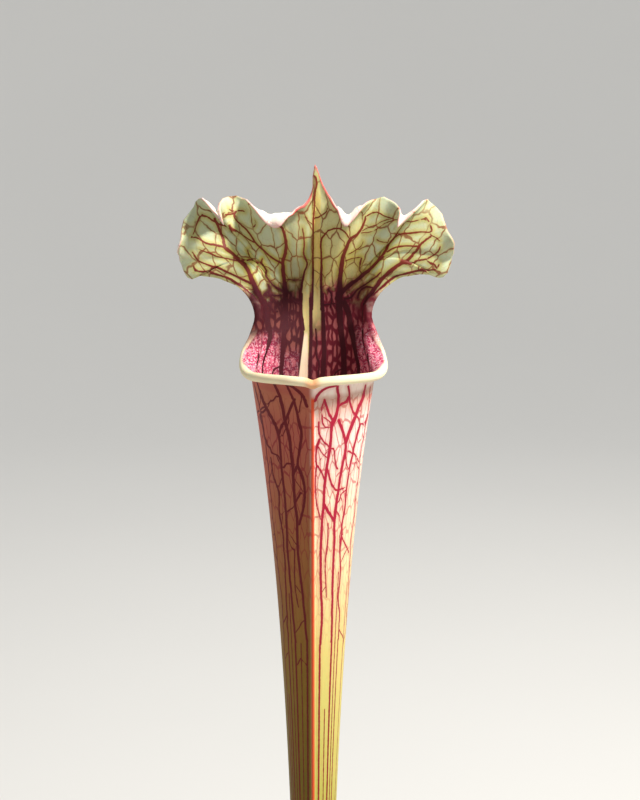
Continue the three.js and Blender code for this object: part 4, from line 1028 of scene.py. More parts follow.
class LeafPaint(Paint):
    """The finish of a pitcher, with levels for where a point is on the leaf and how near a vein."""

    def __init__(self, name, net_and_painted_shade):
        super().__init__(name)
        self.net_and_painted_shade = net_and_painted_shade
        self.at = self.place()
        self.zone, (self.fold, self.rise, self.side) = self.marked("zone")
        _, (self.right, self.ahead, self.up) = self.marked("home")
        self.fan, _ = self.marked("fan")
        _, halves = self.marked("vein_half")
        self.inside = self.side.rise(0.4, 0.6)
        self.far_right = self.right.made("ABSOLUTE", self.right)
        beyond = []
        for which in (0, 1):
            near, _ = self.marked(f"vein_{which}")
            ends = {0: self.at, 1: near}
            apart = self.node("ShaderNodeVectorMath", {"operation": "DISTANCE"}, ends, "Value")
            beyond.append(apart * 1000 - halves[which])
        off_vein = beyond[0].least(beyond[1]) + (self.grain(900, 2, self.at) - 0.5) * 0.3
        self.vein = off_vein.rise(0.16, -0.14)
        self.halo = off_vein.rise(1.6, 0)
        self.open_leaf = off_vein.rise(0.3, 2.4)
        sockets = {"Vector": self.at, "Scale": 300, "Detail": 1}
        self.bend = self.node("ShaderNodeTexNoise", (), sockets, "Color")

    def marked(self, attribute):
        """An attribute of the leaf, as a vector and as its three numbers."""
        spot = self.node("ShaderNodeAttribute", {"attribute_name": attribute}, (), "Vector")
        return spot, [self.node("ShaderNodeSeparateXYZ", (), {0: spot}, axis) for axis in "XYZ"]

    def net(self, vector, across, along, scale, waver):
        """Distance to the edges of cells drawn over the leaf, their outlines bent by noise."""
        sockets = {0: self.bend, 1: (waver, waver, 0), 2: self.stretched(vector, (across, along, 1))}
        bent = self.node("ShaderNodeVectorMath", {"operation": "MULTIPLY_ADD"}, sockets, "Vector")
        return self.cells(scale, bent, flat=True)

    def tube(self, tones, crimson, lit_crimson):
        """Outside of the tube: painted shade on its left half and painted light on its right, a painted glow
        on the left flank, a painted lip shadow, thin net above, veins darker towards the foot.
        """
        fold, rise, right = self.fold, self.rise, self.right
        colour = self.ramp(rise, *tones)
        blotch = self.grain(75, 3, self.at).rise(0.35, 0.7)
        colour = self.blend(blotch * 0.25 * rise.rise(0.9, 0.5), colour, tint(222, 190, 120))
        flush = self.halo * 0.3 * rise.rise(0.5, 0.85) + blotch * 0.12 * rise.rise(0.6, 0.9)
        colour = self.blend(flush, colour, tint(214, 110, 92))
        # Painted shade: the left half of the tube is darker and browner, most of all towards its front.
        painted_shade_tone = self.ramp(rise, (0.3, tint(90, 86, 0)), (0.6, tint(122, 92, 0)), (0.8, tint(146, 84, 30)),
                         (0.95, tint(164, 74, 54)))
        painted_shade = right.rise(1, -1.5) * (self.ahead.rise(16, -4) * 0.62 + 0.34) * self.net_and_painted_shade
        colour = self.blend(painted_shade, colour, painted_shade_tone)
        # Painted glow: light coming through the leaf on the shaded upper left flank, as a warm orange.
        painted_glow = fold.within(0.36, 0.54, 0.13) * right.rise(0, -3) * rise.rise(0.72, 0.92) * self.net_and_painted_shade
        colour = self.blend(painted_glow * 0.42, colour, tint(226, 104, 78))
        net = self.net(self.zone, 25, 34, 1, 0.4).rise(0.085, 0.04)
        net = net * rise.rise(0.6, 0.9) * rise.rise(1.06, 0.98) * self.net_and_painted_shade
        # Painted light: the net is lighter on the right half of the tube and crimson on the shaded left.
        net_tone = self.blend(right.rise(-3, 3), crimson, tint(190, 66, 76))
        colour = self.blend(net * 0.7, colour, net_tone)
        streak = self.grain(1, 2, self.stretched(self.at, (1400, 1400, 90))).rise(0.5, 0.72)
        colour = self.blend(streak * 0.16, colour, tint(176, 110, 60))
        # Painted shadow of the lip on the tube just below it.
        painted_lip_shadow = rise.rise(0.955, 0.995) * rise.rise(1.15, 1.02)
        colour = self.blend(painted_lip_shadow * 0.5, colour, tint(178, 110, 76))
        # Painted light: the veins are lit_crimson on the right half, and crimson, their shaded copy, on the
        # left.
        blood = self.blend(right.rise(-3, 3), crimson, lit_crimson)
        # Painted shade also darkens the veins on the left half.
        blood = self.blend(painted_shade * 0.8, blood, tint(88, 4, 6))
        blood = self.blend(rise.rise(0.85, 0.5) * 0.7, blood, tint(118, 24, 14))
        return self.blend(self.vein, colour, blood)

    def hood(self):
        """The hood: pale green windows in a brown net on its inner face, with painted sunlight on its right
        half and painted shade left of the midrib, chalky white behind.
        """
        fold, rise, right, up = self.fold, self.rise, self.right, self.up
        edge = self.net(self.fan, 1, 1.1, 0.44, 0.8)
        fine_edge = self.net(self.fan, 1, 1.1, 0.95, 1.1)
        window = self.open_leaf * (self.grain(300, 2, self.at) * 0.5 + 0.6) * edge.rise(0.02, 0.2)
        # Painted sunlight on the right half of the hood's inner face, lightening its green and its windows.
        painted_sunlight = right.within(1, 20, 4) * up.rise(8, 30)
        green = self.blend(self.halo, tint(190, 188, 126), tint(178, 166, 76))
        green = self.blend(painted_sunlight * 0.5, green, tint(206, 188, 96))
        grey = self.blend(painted_sunlight, tint(190, 202, 174), tint(212, 206, 140))
        inner = self.blend(window.least(1) * 0.9, green, grey)
        inner = self.blend(rise.rise(1.7, 2) * 0.35, inner, tint(198, 202, 166))
        # Painted shade: a darker olive band just left of the midrib.
        inner = self.blend(right.within(-10, -2, 2) * 0.45, inner, tint(140, 130, 70))
        rib = right.within(-0.4, 2.9, 0.3) * up.rise(68, 60)
        inner = self.blend(rib * 0.65, inner, tint(234, 206, 112))
        patchy = self.grain(90, 2, self.at).rise(0.3, 0.55) * 0.5 + 0.5
        net = edge.rise(0.06, 0.025) * patchy * 0.85 + fine_edge.rise(0.05, 0.01) * 0.14
        inner = self.blend(net.least(1) * self.net_and_painted_shade, inner, tint(130, 66, 38))
        brown = self.blend(up.rise(24, 44), tint(96, 16, 26), tint(122, 44, 26))
        inner = self.blend(self.vein, inner, brown)
        tip = rise.rise(2.86, 2.97) * fold.rise(0.84, 0.92) + up.rise(71, 74.5)
        inner = self.blend(tip.least(1) * 0.8, inner, tint(206, 74, 84))
        outer = self.blend(self.open_leaf * 0.4 + 0.5, tint(228, 208, 184), tint(242, 236, 222))
        outer = self.blend(edge.rise(0.04, 0.01) * 0.4 * self.net_and_painted_shade, outer, tint(196, 104, 98))
        outer = self.blend((1 - self.net_and_painted_shade) * 2, outer, tint(188, 190, 136))
        outer = self.blend(self.vein, outer, tint(150, 44, 52))
        outer = self.blend(rise.rise(2.8, 3) * fold.rise(0.7, 0.8) * 0.4, outer, tint(220, 120, 122))
        both = self.blend(self.inside, outer, inner)
        return self.blend(self.side.within(0.3, 0.7, 0.2) * 0.45, both, tint(204, 104, 98))

    def throat(self):
        """The throat: wine red with mauve gaps, both painted lighter on the right half as painted light, rosy
        beside the mouth with painted glints of hairs, two pale ribs at the back.
        """
        right, up = self.right, self.up
        seen = self.node("ShaderNodeCombineXYZ", (), {0: right, 1: up})
        solid = up.within(17, 30, 4) * self.far_right.rise(12, 18)
        gap = self.net(seen, 0.5, 0.2, 1, 0.6).rise(0.12, 0.3) * (1 - solid)
        rosy = right.rise(-11, -18) * up.rise(14, 5) + right.rise(15, 21) * up.rise(18, 9)
        rosy = rosy + right.rise(2, -8) * up.rise(7, 0) * 0.3
        # Painted light: the throat's gaps and wine red are lighter on its right half and darker on its left.
        lit = right.rise(-5, 5)
        mauve = self.blend(lit, tint(122, 64, 58), tint(176, 98, 98))
        mauve = self.blend(rosy, mauve, tint(224, 116, 140))
        wine = self.blend(lit, tint(66, 8, 20), tint(98, 16, 34))
        wine = self.blend(rosy * 0.8, wine, tint(184, 52, 92))
        colour = self.blend(gap * (1 - self.halo * 0.35), wine, mauve)
        # Painted highlights: small pale glints of the hairs on the rosy patches.
        painted_hair_glints = self.grain(1500, 2, self.at).rise(0.5, 0.6)
        colour = self.blend(painted_hair_glints * rosy * 0.5, colour, tint(250, 214, 218))
        colour = self.blend(self.vein, colour, tint(66, 10, 22))
        rib = right.within(-4.1, -1.6, 0.4) * up.rise(0, 6) + right.within(-0.3, 3.0, 0.4) * up.rise(8, 20)
        colour = self.blend(rib * (1 - self.vein) * self.inside * 0.9, colour, tint(206, 192, 128))
        sliver = (right - up * 0.13 + 4.9).rise(-0.2, 0.2) * right.rise(-1.9, -2.3) * up.rise(12, 9)
        return self.blend(sliver * self.inside * 0.9, colour, tint(244, 222, 190))


def pitcher_skin(name, tones, crimson, lit_crimson, net_and_painted_shade):
    """Finish of a pitcher: tube colours from foot to mouth, colours of its veins in painted shade and in
    painted light, amount of net and of painted shade and glow.
    """
    paint = LeafPaint(name, net_and_painted_shade)
    fold, rise, inside = paint.fold, paint.rise, paint.inside
    hood = rise.rise(1.26, 1.42) * fold.rise(0.54, 0.6)
    throat_top = paint.up + (paint.grain(230, 3, paint.at) - 0.5) * 16
    throat_top = throat_top + paint.halo * -5 + paint.far_right.rise(21, 29) * 12
    turned_out = rise.rise(1.95, 2.1) * fold.within(0.47, 0.62, 0.02)
    throat = inside.most(turned_out) * throat_top.rise(35, 20) * rise.rise(0.86, 0.96)
    deep = paint.ramp(rise, (0, tint(70, 76, 26)), (0.6, tint(150, 128, 70)), (0.95, tint(180, 110, 110)))
    lip = (rise - fold.rise(0.36, 0.46) * 0.34).rise(1.62, 1.86) * fold.rise(0.53, 0.48)
    cloudy = paint.grain(60, 2, paint.at).rise(0.4, 0.7) * 0.5
    cream = paint.blend(cloudy, tint(236, 224, 186), tint(224, 204, 172))
    cream = paint.blend(fold.rise(0.05, 0.01), cream, tint(226, 170, 124))
    wing_edge = fold.rise(0.0095, 0.004) * (1 - inside) * rise.rise(1.12, 1.0)
    colour = paint.blend(hood, paint.tube(tones, crimson, lit_crimson), paint.hood())
    colour = paint.blend(throat, colour, paint.throat())
    colour = paint.blend(inside * rise.rise(0.93, 0.8), colour, deep)
    colour = paint.blend(lip, colour, cream)
    colour = paint.blend(wing_edge * 0.95, colour, tint(214, 74, 34))
    relief = paint.vein * 0.2 + paint.halo * 0.25 + paint.grain(420, 3, paint.at) * 0.4
    gloss = paint.grain(160, 3, paint.at) * 0.2 + 0.46 + throat * 0.2
    through = {"subsurface_weight": 0.15, "subsurface_scale": 0.0015, "specular_ior_level": 0.25}
    return paint.finish(colour, gloss, relief, 0.3, **through)


# Veins of the tall pitcher as the picture shows them, each with its half width at both ends and its
# course in millimetres: right of the middle, and up from the lip. First those of hood and throat,
# then those on the front of the tube.
HOOD_VEINS = (
    ("left vertical", 1.05, 0.45, [(-10.5, 16.1), (-10.5, 23.1), (-10.6, 30.1), (-11.2, 37.1),
        (-11.3, 41.3), (-10.3, 44.8), (-10.1, 48.3), (-11, 52.2), (-12.7, 55)]),
    ("its upper branch", 0.42, 0.28, [(-11.7, 41), (-15.5, 43.1), (-19, 45.9), (-21.8, 48.3),
        (-23.6, 51.1), (-26, 53.9), (-28.5, 56), (-29.9, 58.1), (-29.9, 60.2), (-29.5, 62), (-30.9, 64.4),
        (-32.3, 65.5)]),
    ("its lower branch", 0.45, 0.31, [(-11.5, 30.5), (-15.2, 32.6), (-17.3, 35), (-18.3, 36.4),
        (-17.8, 38.2), (-19.5, 41), (-19.4, 42.5)]),
    ("left main", 1.15, 0.45, [(-17.3, 16.1), (-17.8, 19.6), (-19.4, 26.6), (-21.5, 30.8), (-23.2, 34.3),
        (-24.3, 37.1), (-26, 39.6), (-27.8, 41), (-29.5, 43.1), (-31.6, 44.8), (-33.2, 46.2), (-33.7, 49),
        (-34.8, 52.2), (-35.5, 55), (-36.9, 56.7)]),
    ("arch at the left shoulder", 0.38, 0.28, [(-35.5, 55.1), (-37.6, 56.5), (-40, 57.9), (-42.5, 58.5),
        (-44.6, 57.8), (-45.8, 56.4)]),
    ("to the left edge", 0.42, 0.28, [(-33.2, 46.2), (-36.9, 46.9), (-40, 47.6), (-42.8, 49), (-46, 50.4),
        (-47.7, 51.5)]),
    ("cross vein", 0.35, 0.28, [(-35.5, 55.1), (-32.7, 53.9), (-29.9, 52.7), (-27.1, 51.1), (-24.3, 49.5),
        (-22.3, 48.5)]),
    ("lower cross", 0.31, 0.21, [(-27.8, 41), (-31.3, 41.7), (-34.8, 42.5), (-38.3, 43.8),
        (-42.5, 45.2)]),
    ("lower branch", 0.49, 0.28, [(-23.2, 32.6), (-27.8, 35), (-31.3, 36.8), (-34.8, 38.2), (-37.6, 38.9),
        (-40.4, 39.9), (-42.8, 41.3), (-44.9, 44.1)]),
    ("corner loop", 0.35, 0.28, [(-37.6, 38.9), (-38.4, 37.1), (-40.7, 37), (-45.3, 37.5),
        (-45.6, 39.6)]),
    ("lower margin", 0.59, 0.35, [(-18.7, 21.7), (-22.2, 25.2), (-25.7, 29.1), (-29.5, 32.2),
        (-32.7, 34.3), (-36.9, 36.4), (-38.6, 37.1)]),
    ("margin twig", 0.24, 0.17, [(-29.5, 32.9), (-27.1, 32.2), (-23.6, 31)]),
    ("middle bridge", 0.31, 0.24, [(-27.8, 41), (-25.7, 41.6), (-23.6, 41.7), (-20.8, 41),
        (-19.4, 40.8)]),
    ("middle twig", 0.21, 0.17, [(-25, 46.2), (-23.9, 43.4), (-23.2, 41.7)]),
    ("upper loop", 0.35, 0.24, [(-29.9, 60.2), (-32.7, 60), (-35.1, 60.2), (-35.5, 62), (-34.1, 63.7)]),
    ("top twig", 0.28, 0.21, [(-29.5, 62.7), (-26.4, 63), (-25.3, 61.8)]),
    ("throat bridge one", 0.38, 0.28, [(-19, 28.7), (-16.6, 30.8), (-17.3, 32.9)]),
    ("throat bridge two", 0.38, 0.28, [(-18.7, 29.1), (-15.9, 28.7), (-13.4, 28.7), (-11, 29.4)]),
    ("throat bridge three", 0.42, 0.35, [(-16.9, 29.1), (-15.2, 27), (-13.4, 24.5), (-12.7, 22.1)]),
    ("throat bridge four", 0.42, 0.35, [(-16.9, 25.2), (-15.2, 22.4), (-13.8, 23.1)]),
    ("inner left", 0.59, 0.21, [(-3.8, 16.1), (-4.7, 23.1), (-5, 28.4), (-4.3, 32.9), (-3.6, 37.1),
        (-2.4, 40.6), (-3.6, 44.1), (-3.6, 49), (-4, 53.6)]),
    ("inner twig", 0.31, 0.21, [(-8, 16.1), (-7.5, 21.4), (-7.8, 26.6), (-8.4, 30.1)]),
    ("inner bridge", 0.31, 0.28, [(-5, 25.6), (-6.4, 26.3), (-7.8, 27)]),
    ("inner bridge low", 0.31, 0.28, [(-10.3, 21), (-8.5, 19.6), (-7.7, 18.6)]),
    ("edge twig", 0.24, 0.17, [(-22.2, 54.3), (-21.3, 55.3), (-21.5, 56.7)]),
    ("shoulder twig", 0.24, 0.17, [(-45.8, 56.4), (-45.3, 54.6), (-46, 51.1)]),
    ("small cross", 0.21, 0.14, [(-10.1, 35), (-6.8, 34.9), (-4.3, 34.7)]),
    ("yellow cross", 0.21, 0.14, [(-2.9, 57.8), (-2.2, 56.4), (-0.3, 55)]),
    ("midrib", 0.56, 0.3, [(-0.5, 23.9), (-0.3, 31.3), (-0.3, 38.8), (-0.4, 46.3), (-0.3, 53.8),
        (-0, 57.5), (0.7, 64.3), (1.3, 70.2), (1.3, 74)]),
    ("tip branch", 0.3, 0.22, [(0.2, 57.3), (2.5, 57.9), (4.6, 59.2), (6.1, 61.1), (7.6, 62.4)]),
    ("inner right", 0.52, 0.34, [(3.3, 23.9), (3.1, 31.3), (3.2, 37), (3.4, 42.6), (3.1, 47.8),
        (3.8, 50.4), (5.9, 52.7)]),
    ("inner arch", 0.3, 0.3, [(5.9, 52.7), (8.1, 53.3), (10.4, 53), (11.9, 51.9), (13.4, 49.9)]),
    ("right vertical", 1.16, 0.45, [(10, 23.9), (10.2, 31.3), (10.4, 37), (11.1, 42.6), (12.3, 46.3),
        (13.8, 49.7), (16.4, 51.5), (18.2, 53.8), (19.4, 56.8), (19.4, 58.5)]),
    ("upper arch", 0.26, 0.22, [(19.4, 58.1), (21.6, 59.4), (26.1, 60.3), (30.6, 59.4), (32.8, 57.5)]),
    ("top twig right", 0.26, 0.19, [(10.6, 53), (10.8, 55.7), (10.8, 57.2)]),
    ("crown twig", 0.26, 0.22, [(26.5, 60.3), (26.8, 62.8), (27.2, 64.6)]),
    ("right main", 0.94, 0.45, [(9.3, 28), (11.9, 31.3), (14.9, 33.6), (19.4, 36.6), (23.1, 39.6),
        (25.4, 42.2), (27.6, 45.2), (28.7, 47.8), (30.6, 50.4), (32.5, 53.8), (34, 56)]),
    ("upper right branch", 0.37, 0.3, [(30.6, 50.2), (32.8, 51), (37.3, 51.4), (40.3, 51.7), (43.7, 51.2),
        (45.9, 53.4), (47.4, 55.7)]),
    ("edge link", 0.26, 0.19, [(43.7, 51.2), (44.6, 49.9), (49.3, 50)]),
    ("far right main", 1.01, 0.34, [(19.4, 25), (21.6, 28.4), (23.9, 32.1), (26.8, 35.5), (30.6, 38.8),
        (32.8, 39.9), (35.8, 41.8), (38.4, 44.8), (39.6, 46.3), (41.8, 48.5), (44.4, 49.9)]),
    ("right cross", 0.34, 0.3, [(27.8, 44.4), (30.6, 45.9), (34.3, 46.5), (39.4, 46.3)]),
    ("to the right edge", 0.37, 0.26, [(32.8, 39.9), (36.6, 40.3), (39.9, 41.3), (42.2, 41.6),
        (45.5, 43.7), (48.2, 46.3)]),
    ("lower right branch", 0.34, 0.26, [(42.2, 41.3), (44.4, 39.8), (46.7, 38.4), (49.3, 39.6)]),
    ("lower right margin", 0.52, 0.3, [(23.1, 23.9), (26.8, 28.4), (30.6, 32.1), (34.3, 34.3),
        (37.3, 36.6), (39.6, 37.9), (45.5, 37.9)]),
    ("beside the margin", 0.37, 0.22, [(22.7, 28), (26.8, 31), (30.6, 33.2), (34.3, 34.5)]),
    ("short bridge", 0.22, 0.15, [(39.6, 37.9), (39.4, 39.2)]),
    ("twig one", 0.22, 0.15, [(13, 44.2), (15.6, 45.4), (17.9, 46.7), (19, 48.5)]),
    ("twig two", 0.22, 0.15, [(11.9, 41.8), (14.9, 42.6), (18.4, 42.9)]),
    ("twig three", 0.26, 0.19, [(18.4, 42.9), (17.5, 39.9), (18.2, 37)]),
    ("twig four", 0.19, 0.15, [(17.9, 52.3), (20.9, 53.8), (25.4, 55.3), (29.5, 57.2)]),
    ("twig five", 0.19, 0.15, [(17.9, 51.9), (22.7, 52.3), (26.5, 54.5), (32.5, 57.5)]),
    ("twig six", 0.22, 0.15, [(23.9, 49.3), (25.4, 48.5), (28.3, 48.5)]),
    ("lobe vein", 0.26, 0.22, [(34.3, 55.7), (37.7, 55.7), (40.3, 56.4), (42.9, 57.3), (47.4, 57.3)]),
    ("lower bridge one", 0.37, 0.26, [(11.9, 27.6), (14.5, 28), (17.1, 31), (21.6, 33.6), (25.4, 37)]),
    ("lower bridge two", 0.41, 0.3, [(17.1, 27.6), (17.9, 30.2), (20.1, 31.7), (23.1, 31.3)]),
    ("hook", 0.34, 0.26, [(5.9, 31.3), (7, 29.5), (7.1, 26.5), (6.6, 24.6)]),
    ("cross low", 0.3, 0.22, [(3.3, 25.7), (5.9, 25.7), (10, 26.1)]),
    ("midrib in the throat", 0.65, 0.61, [(-1.3, -2.1), (-1, 6.1), (-0.9, 18.3), (-1, 28.1)]),
    ("left inner in the throat", 0.57, 0.61, [(-5.1, 3.6), (-4.5, 10.1), (-4.1, 15), (-4.7, 22.4),
                                             (-4.5, 29.7)]),
    ("left vertical in the throat", 0.94, 1.14, [(-12.3, 0.4), (-11.7, 10.1), (-11.3, 16.2),
        (-10.9, 24.4), (-10.7, 29.7)]),
    ("left main in the throat", 0.5, 1.35, [(-17.8, 7.7), (-16.2, 13), (-17.2, 18.3), (-18.2, 22.4),
        (-19.4, 26)]),
    ("left edge in the throat", 0.3, 1.02, [(-23.5, 9.3), (-21.9, 15), (-21, 19.9), (-22.1, 23.6)]),
    ("right inner in the throat", 0.94, 0.61, [(3.8, -0.5), (4.3, 6.1), (4.2, 14.2), (3.8, 22.4),
                                              (3.4, 29.7)]),
    ("right vertical in the throat", 1.22, 1.26, [(12, -0.5), (11.8, 7.7), (11, 14.2), (10.3, 22.4),
        (10, 29.7)]),
    ("right main in the throat", 0.94, 1.22, [(16.9, 4.4), (15.6, 10.9), (14.4, 17.1), (13.6, 22.4),
        (12, 26)]),
    ("right edge in the throat", 0.4, 1.02, [(21.3, 4.4), (19.3, 10.9), (19.1, 18.3), (19.3, 24.4)]),
    ("middle twig in the throat", 0.37, 0.29, [(2.2, 0.4), (2.3, 3.6), (1.2, 6.5), (1.5, 10.9),
        (1, 16.2)]),
)
TUBE_VEINS = (
    ("left edge", 0.29, 0.23, [(-21, -4.8), (-19.3, -11), (-17.4, -21.4), (-16.1, -32.4), (-15.1, -45.4),
        (-13.8, -58.4), (-12.5, -71.4), (-11.2, -84.3), (-10.3, -101.2)]),
    ("left one", 0.49, 0.39, [(-20, -3.5), (-18, -9.7), (-16.1, -14.2), (-13.5, -18.8), (-11.9, -23.3),
        (-11.4, -29.2), (-10.9, -35.6), (-9.9, -45.4), (-9.3, -55.1), (-9, -64.9), (-8.3, -74.6),
        (-7.5, -84.3), (-6.2, -101.2)]),
    ("left two", 0.58, 0.36, [(-14.2, -3.5), (-11.6, -9), (-10.3, -14.2), (-9.5, -18.8), (-8.3, -23.3),
        (-7.5, -29.2), (-7, -35), (-6.7, -41.5), (-6.2, -48), (-5.4, -55.1), (-5.3, -64.9), (-4.4, -74.6),
        (-3.4, -84.3), (-2.1, -99.9)]),
    ("left bridge", 0.42, 0.39, [(-11.9, -23.3), (-10.9, -20.1), (-9.3, -18.1), (-8, -14.2),
        (-6.2, -10.6)]),
    ("left three", 0.42, 0.42, [(-9.3, -4.8), (-7, -9.7), (-5.6, -14.2), (-4.5, -19.4), (-3.8, -22.7),
        (-4.4, -27.9), (-5.3, -34.3)]),
    ("left lozenge one", 0.36, 0.36, [(-5.3, -34.3), (-6.7, -38.2), (-6.7, -41.5)]),
    ("left lozenge two", 0.42, 0.36, [(-5.3, -34.3), (-3.6, -38.2), (-2.7, -43.4), (-3.1, -49.3),
        (-4.7, -56.7)]),
    ("left arch", 0.55, 0.49, [(-11.2, -4), (-7.7, -5.5), (-5.1, -7.4), (-3.1, -9.7), (-1.9, -13.2)]),
    ("left link one", 0.36, 0.26, [(-16.1, -14.2), (-18.6, -15.8), (-17.7, -20.1), (-16.8, -25.3),
        (-14.2, -29.8), (-11.4, -32.1)]),
    ("left four", 0.29, 0.32, [(-14.9, -31.7), (-13.8, -38.9), (-11.9, -44.7), (-11.9, -51.9),
        (-10.9, -58.4), (-9.9, -71.4), (-9.5, -84.3), (-8.8, -101.2)]),
    ("left link two", 0.26, 0.23, [(-10.6, -35.3), (-9, -34), (-5.7, -34.3)]),
    ("left link three", 0.26, 0.23, [(-6.2, -48.3), (-4.1, -44.4), (-2.5, -44.1)]),
    ("left low twig", 0.23, 0.19, [(-6.4, -64.9), (-6.4, -77.9), (-5.1, -87.6)]),
    ("left edge link", 0.29, 0.23, [(-20, -15.5), (-16.8, -12.9), (-13.5, -10.3), (-11.2, -9.7)]),
    ("right arch", 0.45, 0.39, [(0.5, -11.5), (2.1, -8.4), (4.7, -6.4), (8.2, -5.5)]),
    ("right one", 0.49, 0.39, [(8.6, -5.8), (8.9, -11.6), (7.9, -16.8), (6.6, -19.4), (6.3, -24.6),
        (5.7, -29.2), (4.7, -35.6), (4, -42.1), (3.7, -48.3), (3.1, -55.1), (2.7, -64.9), (2.7, -77.9),
        (3.1, -90.8), (2.4, -101.2)]),
    ("right one bridge", 0.45, 0.39, [(3.7, -48.3), (6, -52.5), (7.6, -55.1)]),
    ("right two", 0.49, 0.39, [(8.9, -17.5), (10.2, -21.4), (11.5, -25.9), (11.2, -30.5), (9.9, -36.3),
        (8.9, -44.1), (7.9, -50.6), (7.6, -55.1), (7.4, -64.9), (7, -74.6), (6.8, -87.6), (6.5, -101.2)]),
    ("right three", 0.52, 0.45, [(18.6, -5.5), (17.7, -9.7), (15.7, -14.2), (14.1, -18.8), (12.5, -22.7),
        (11.5, -26.2)]),
    ("right upper link", 0.39, 0.32, [(12.5, -5.8), (13, -11.6), (14.5, -15.8)]),
    ("right top cross", 0.39, 0.32, [(8.9, -13.2), (11.2, -11.6), (12.9, -9.7)]),
    ("right four", 0.29, 0.32, [(14.5, -15.5), (16.7, -18.8), (15.7, -22.7), (14.4, -27.9), (14.1, -29.8),
        (12.8, -36.3), (11.8, -44.1), (11.2, -50.6), (10.2, -57.1), (10.2, -61)]),
    ("right four twig", 0.26, 0.19, [(16.7, -18.8), (18.3, -19.7), (19.6, -15.5)]),
    ("right link", 0.32, 0.26, [(11.5, -29.8), (14.1, -29.8), (16.4, -33.7)]),
    ("right four low", 0.29, 0.23, [(10.2, -61), (9.5, -64.9), (9.7, -74.6), (8.9, -84.3), (9.4, -90.8),
        (8.9, -101.2)]),
    ("right low bridge", 0.26, 0.26, [(10.2, -61), (11.5, -64.2), (12.8, -67.5)]),
    ("right net one", 0.26, 0.23, [(2.1, -17.8), (2.4, -23.3), (5.3, -27.2), (7.3, -28.5), (7.9, -33.7),
        (8.9, -36.3)]),
    ("right net two", 0.29, 0.26, [(2.4, -24.6), (1.4, -27.9), (1.4, -33.7), (3.1, -36.9), (4.2, -40.2)]),
    ("right net three", 0.23, 0.19, [(1.4, -33.7), (0.8, -40.2), (1.4, -48.6), (2.7, -54.2)]),
    ("right net four", 0.32, 0.29, [(4.8, -35), (6.6, -41.5), (8.9, -43.4), (11.5, -43.1)]),
    ("right net five", 0.26, 0.23, [(3.1, -15.5), (3.5, -19.4), (6.3, -20.7)]),
    ("right net six", 0.39, 0.36, [(4, -10.6), (5.3, -14.9), (7.3, -18.8)]),
    ("right edge", 0.29, 0.23, [(20.4, -6.1), (19, -18.1), (17.1, -29.2), (15.7, -42.1), (14.4, -55.1),
        (13.1, -68.1), (12.5, -81.1), (11.5, -101.2)]),
    ("right low twig", 0.23, 0.19, [(5.3, -55.8), (5, -64.9), (4.2, -70.1), (4.7, -84.3)]),
)

tall = {
    "name": "tall_pitcher", "x": 0, "y": 0, "turn": 0, "lean": 0, "lip": LIP_HEIGHT, "size": 1,
    "ruffle": 1, "lip_flare": 1, "lip_roll": 1, "wall": 1.2, "hood": 1.0,
}
tube_rows = np.concatenate([np.linspace(0, 0.5, 36, endpoint=False), np.linspace(0.5, 1, 68, endpoint=False)])
body, (degrees, ups, sheet, middle), flat = pitcher_body(tall, 262, tube_rows, 60, 12)
surface = Sheet(degrees, ups, middle)
fold = np.minimum(degrees, 360 - degrees)
up_grid = ups[:, None] + 0 * fold[None, :]
back = front_view(degrees, ups, sheet, middle, (fold[None, :] > 98) & (up_grid > 0.8) & (up_grid < 2.35))
front = front_view(degrees, ups, sheet, middle, (fold[None, :] < 92) & (up_grid < 1.75))
veins = []
spines = [(84, 1.2, 0.3), (92, 1.3, 0.3), (268, 1.3, 0.3), (276, 1.2, 0.3)]
for name, start, end, course in HOOD_VEINS:
    vein, low, _ = traced_vein(back, start, end, course)
    veins.append(vein)
    if name.endswith("in the throat"):
        spines.append((*low, start))
front_ends = []
for _, start, end, course in TUBE_VEINS:
    vein, _, low = traced_vein(front, start * 1.2, end * 1.15, course)
    veins.append(vein)
    if course[-1][1] < -95:
        a, share = low
        front_ends.append(a)
        knots = [(a, share), (a + draw.uniform(-1, 1), share * 0.6), (a, share * 0.2), (a, 0.02)]
        veins.append(surface.vein(end, 0.16, knots))
fronts = sorted(front_ends)
for a, b in zip(fronts[:-1], fronts[1:]):
    if b - a < 60:
        c = (a + b) / 2
        knots = [(c, draw.uniform(0.55, 0.8)), (c, 0.4), (c, 0.2), (c, 0.03)]
        veins.append(surface.vein(0.2, 0.13, knots))
spines.sort()
for a, share, half in spines:
    knots = [(a, share), (a + draw.uniform(-1, 1), share * 0.8), (a + draw.uniform(-1, 1), share * 0.5)]
    veins.append(surface.vein(half, 0.2, [*knots, (a, 0.25), (a, 0.02)]))
angles = [a for a, _, _ in spines]
for a, b in zip(angles[:-1], angles[1:]):
    for part in (0.33, 0.67) if b - a > 14 else (0.5,):
        c = a + (b - a) * part
        knots = [(c, draw.uniform(0.62, 0.8)), (c + 1, 0.5), (c, 0.25), (c, 0.03)]
        veins.append(surface.vein(0.34, 0.15, knots))
veins += links(surface, angles, 0.6, 0.95, 0.05, 0.38)
lip_z = LEAF_BASE + LIP_HEIGHT


def on_tube(start, end):
    """Between two places on the upper tube that lie on the same side of the wing."""
    low, high = sorted((start[2], end[2]))
    behind = start[1] > 0 and end[1] > 0
    return lip_z - 115 < low and high < lip_z - 4 and (start[0] * end[0] > 0 or behind)


netting(veins, (900, 500), 2.8, 8, 0.24, 1.1, on_tube)
mark_veins(body, flat, veins)
tall_tube = (
    (0, tint(118, 108, 44)), (0.15, tint(150, 158, 70)), (0.45, tint(188, 184, 86)),
    (0.65, tint(218, 204, 122)), (0.8, tint(244, 222, 180)), (0.93, tint(248, 230, 218)),
)
skin = pitcher_skin("tall_pitcher_skin", tall_tube, tint(128, 14, 36), tint(172, 24, 56), 1)
settle(body, "tall_pitcher", skin, "pitcher_tall")

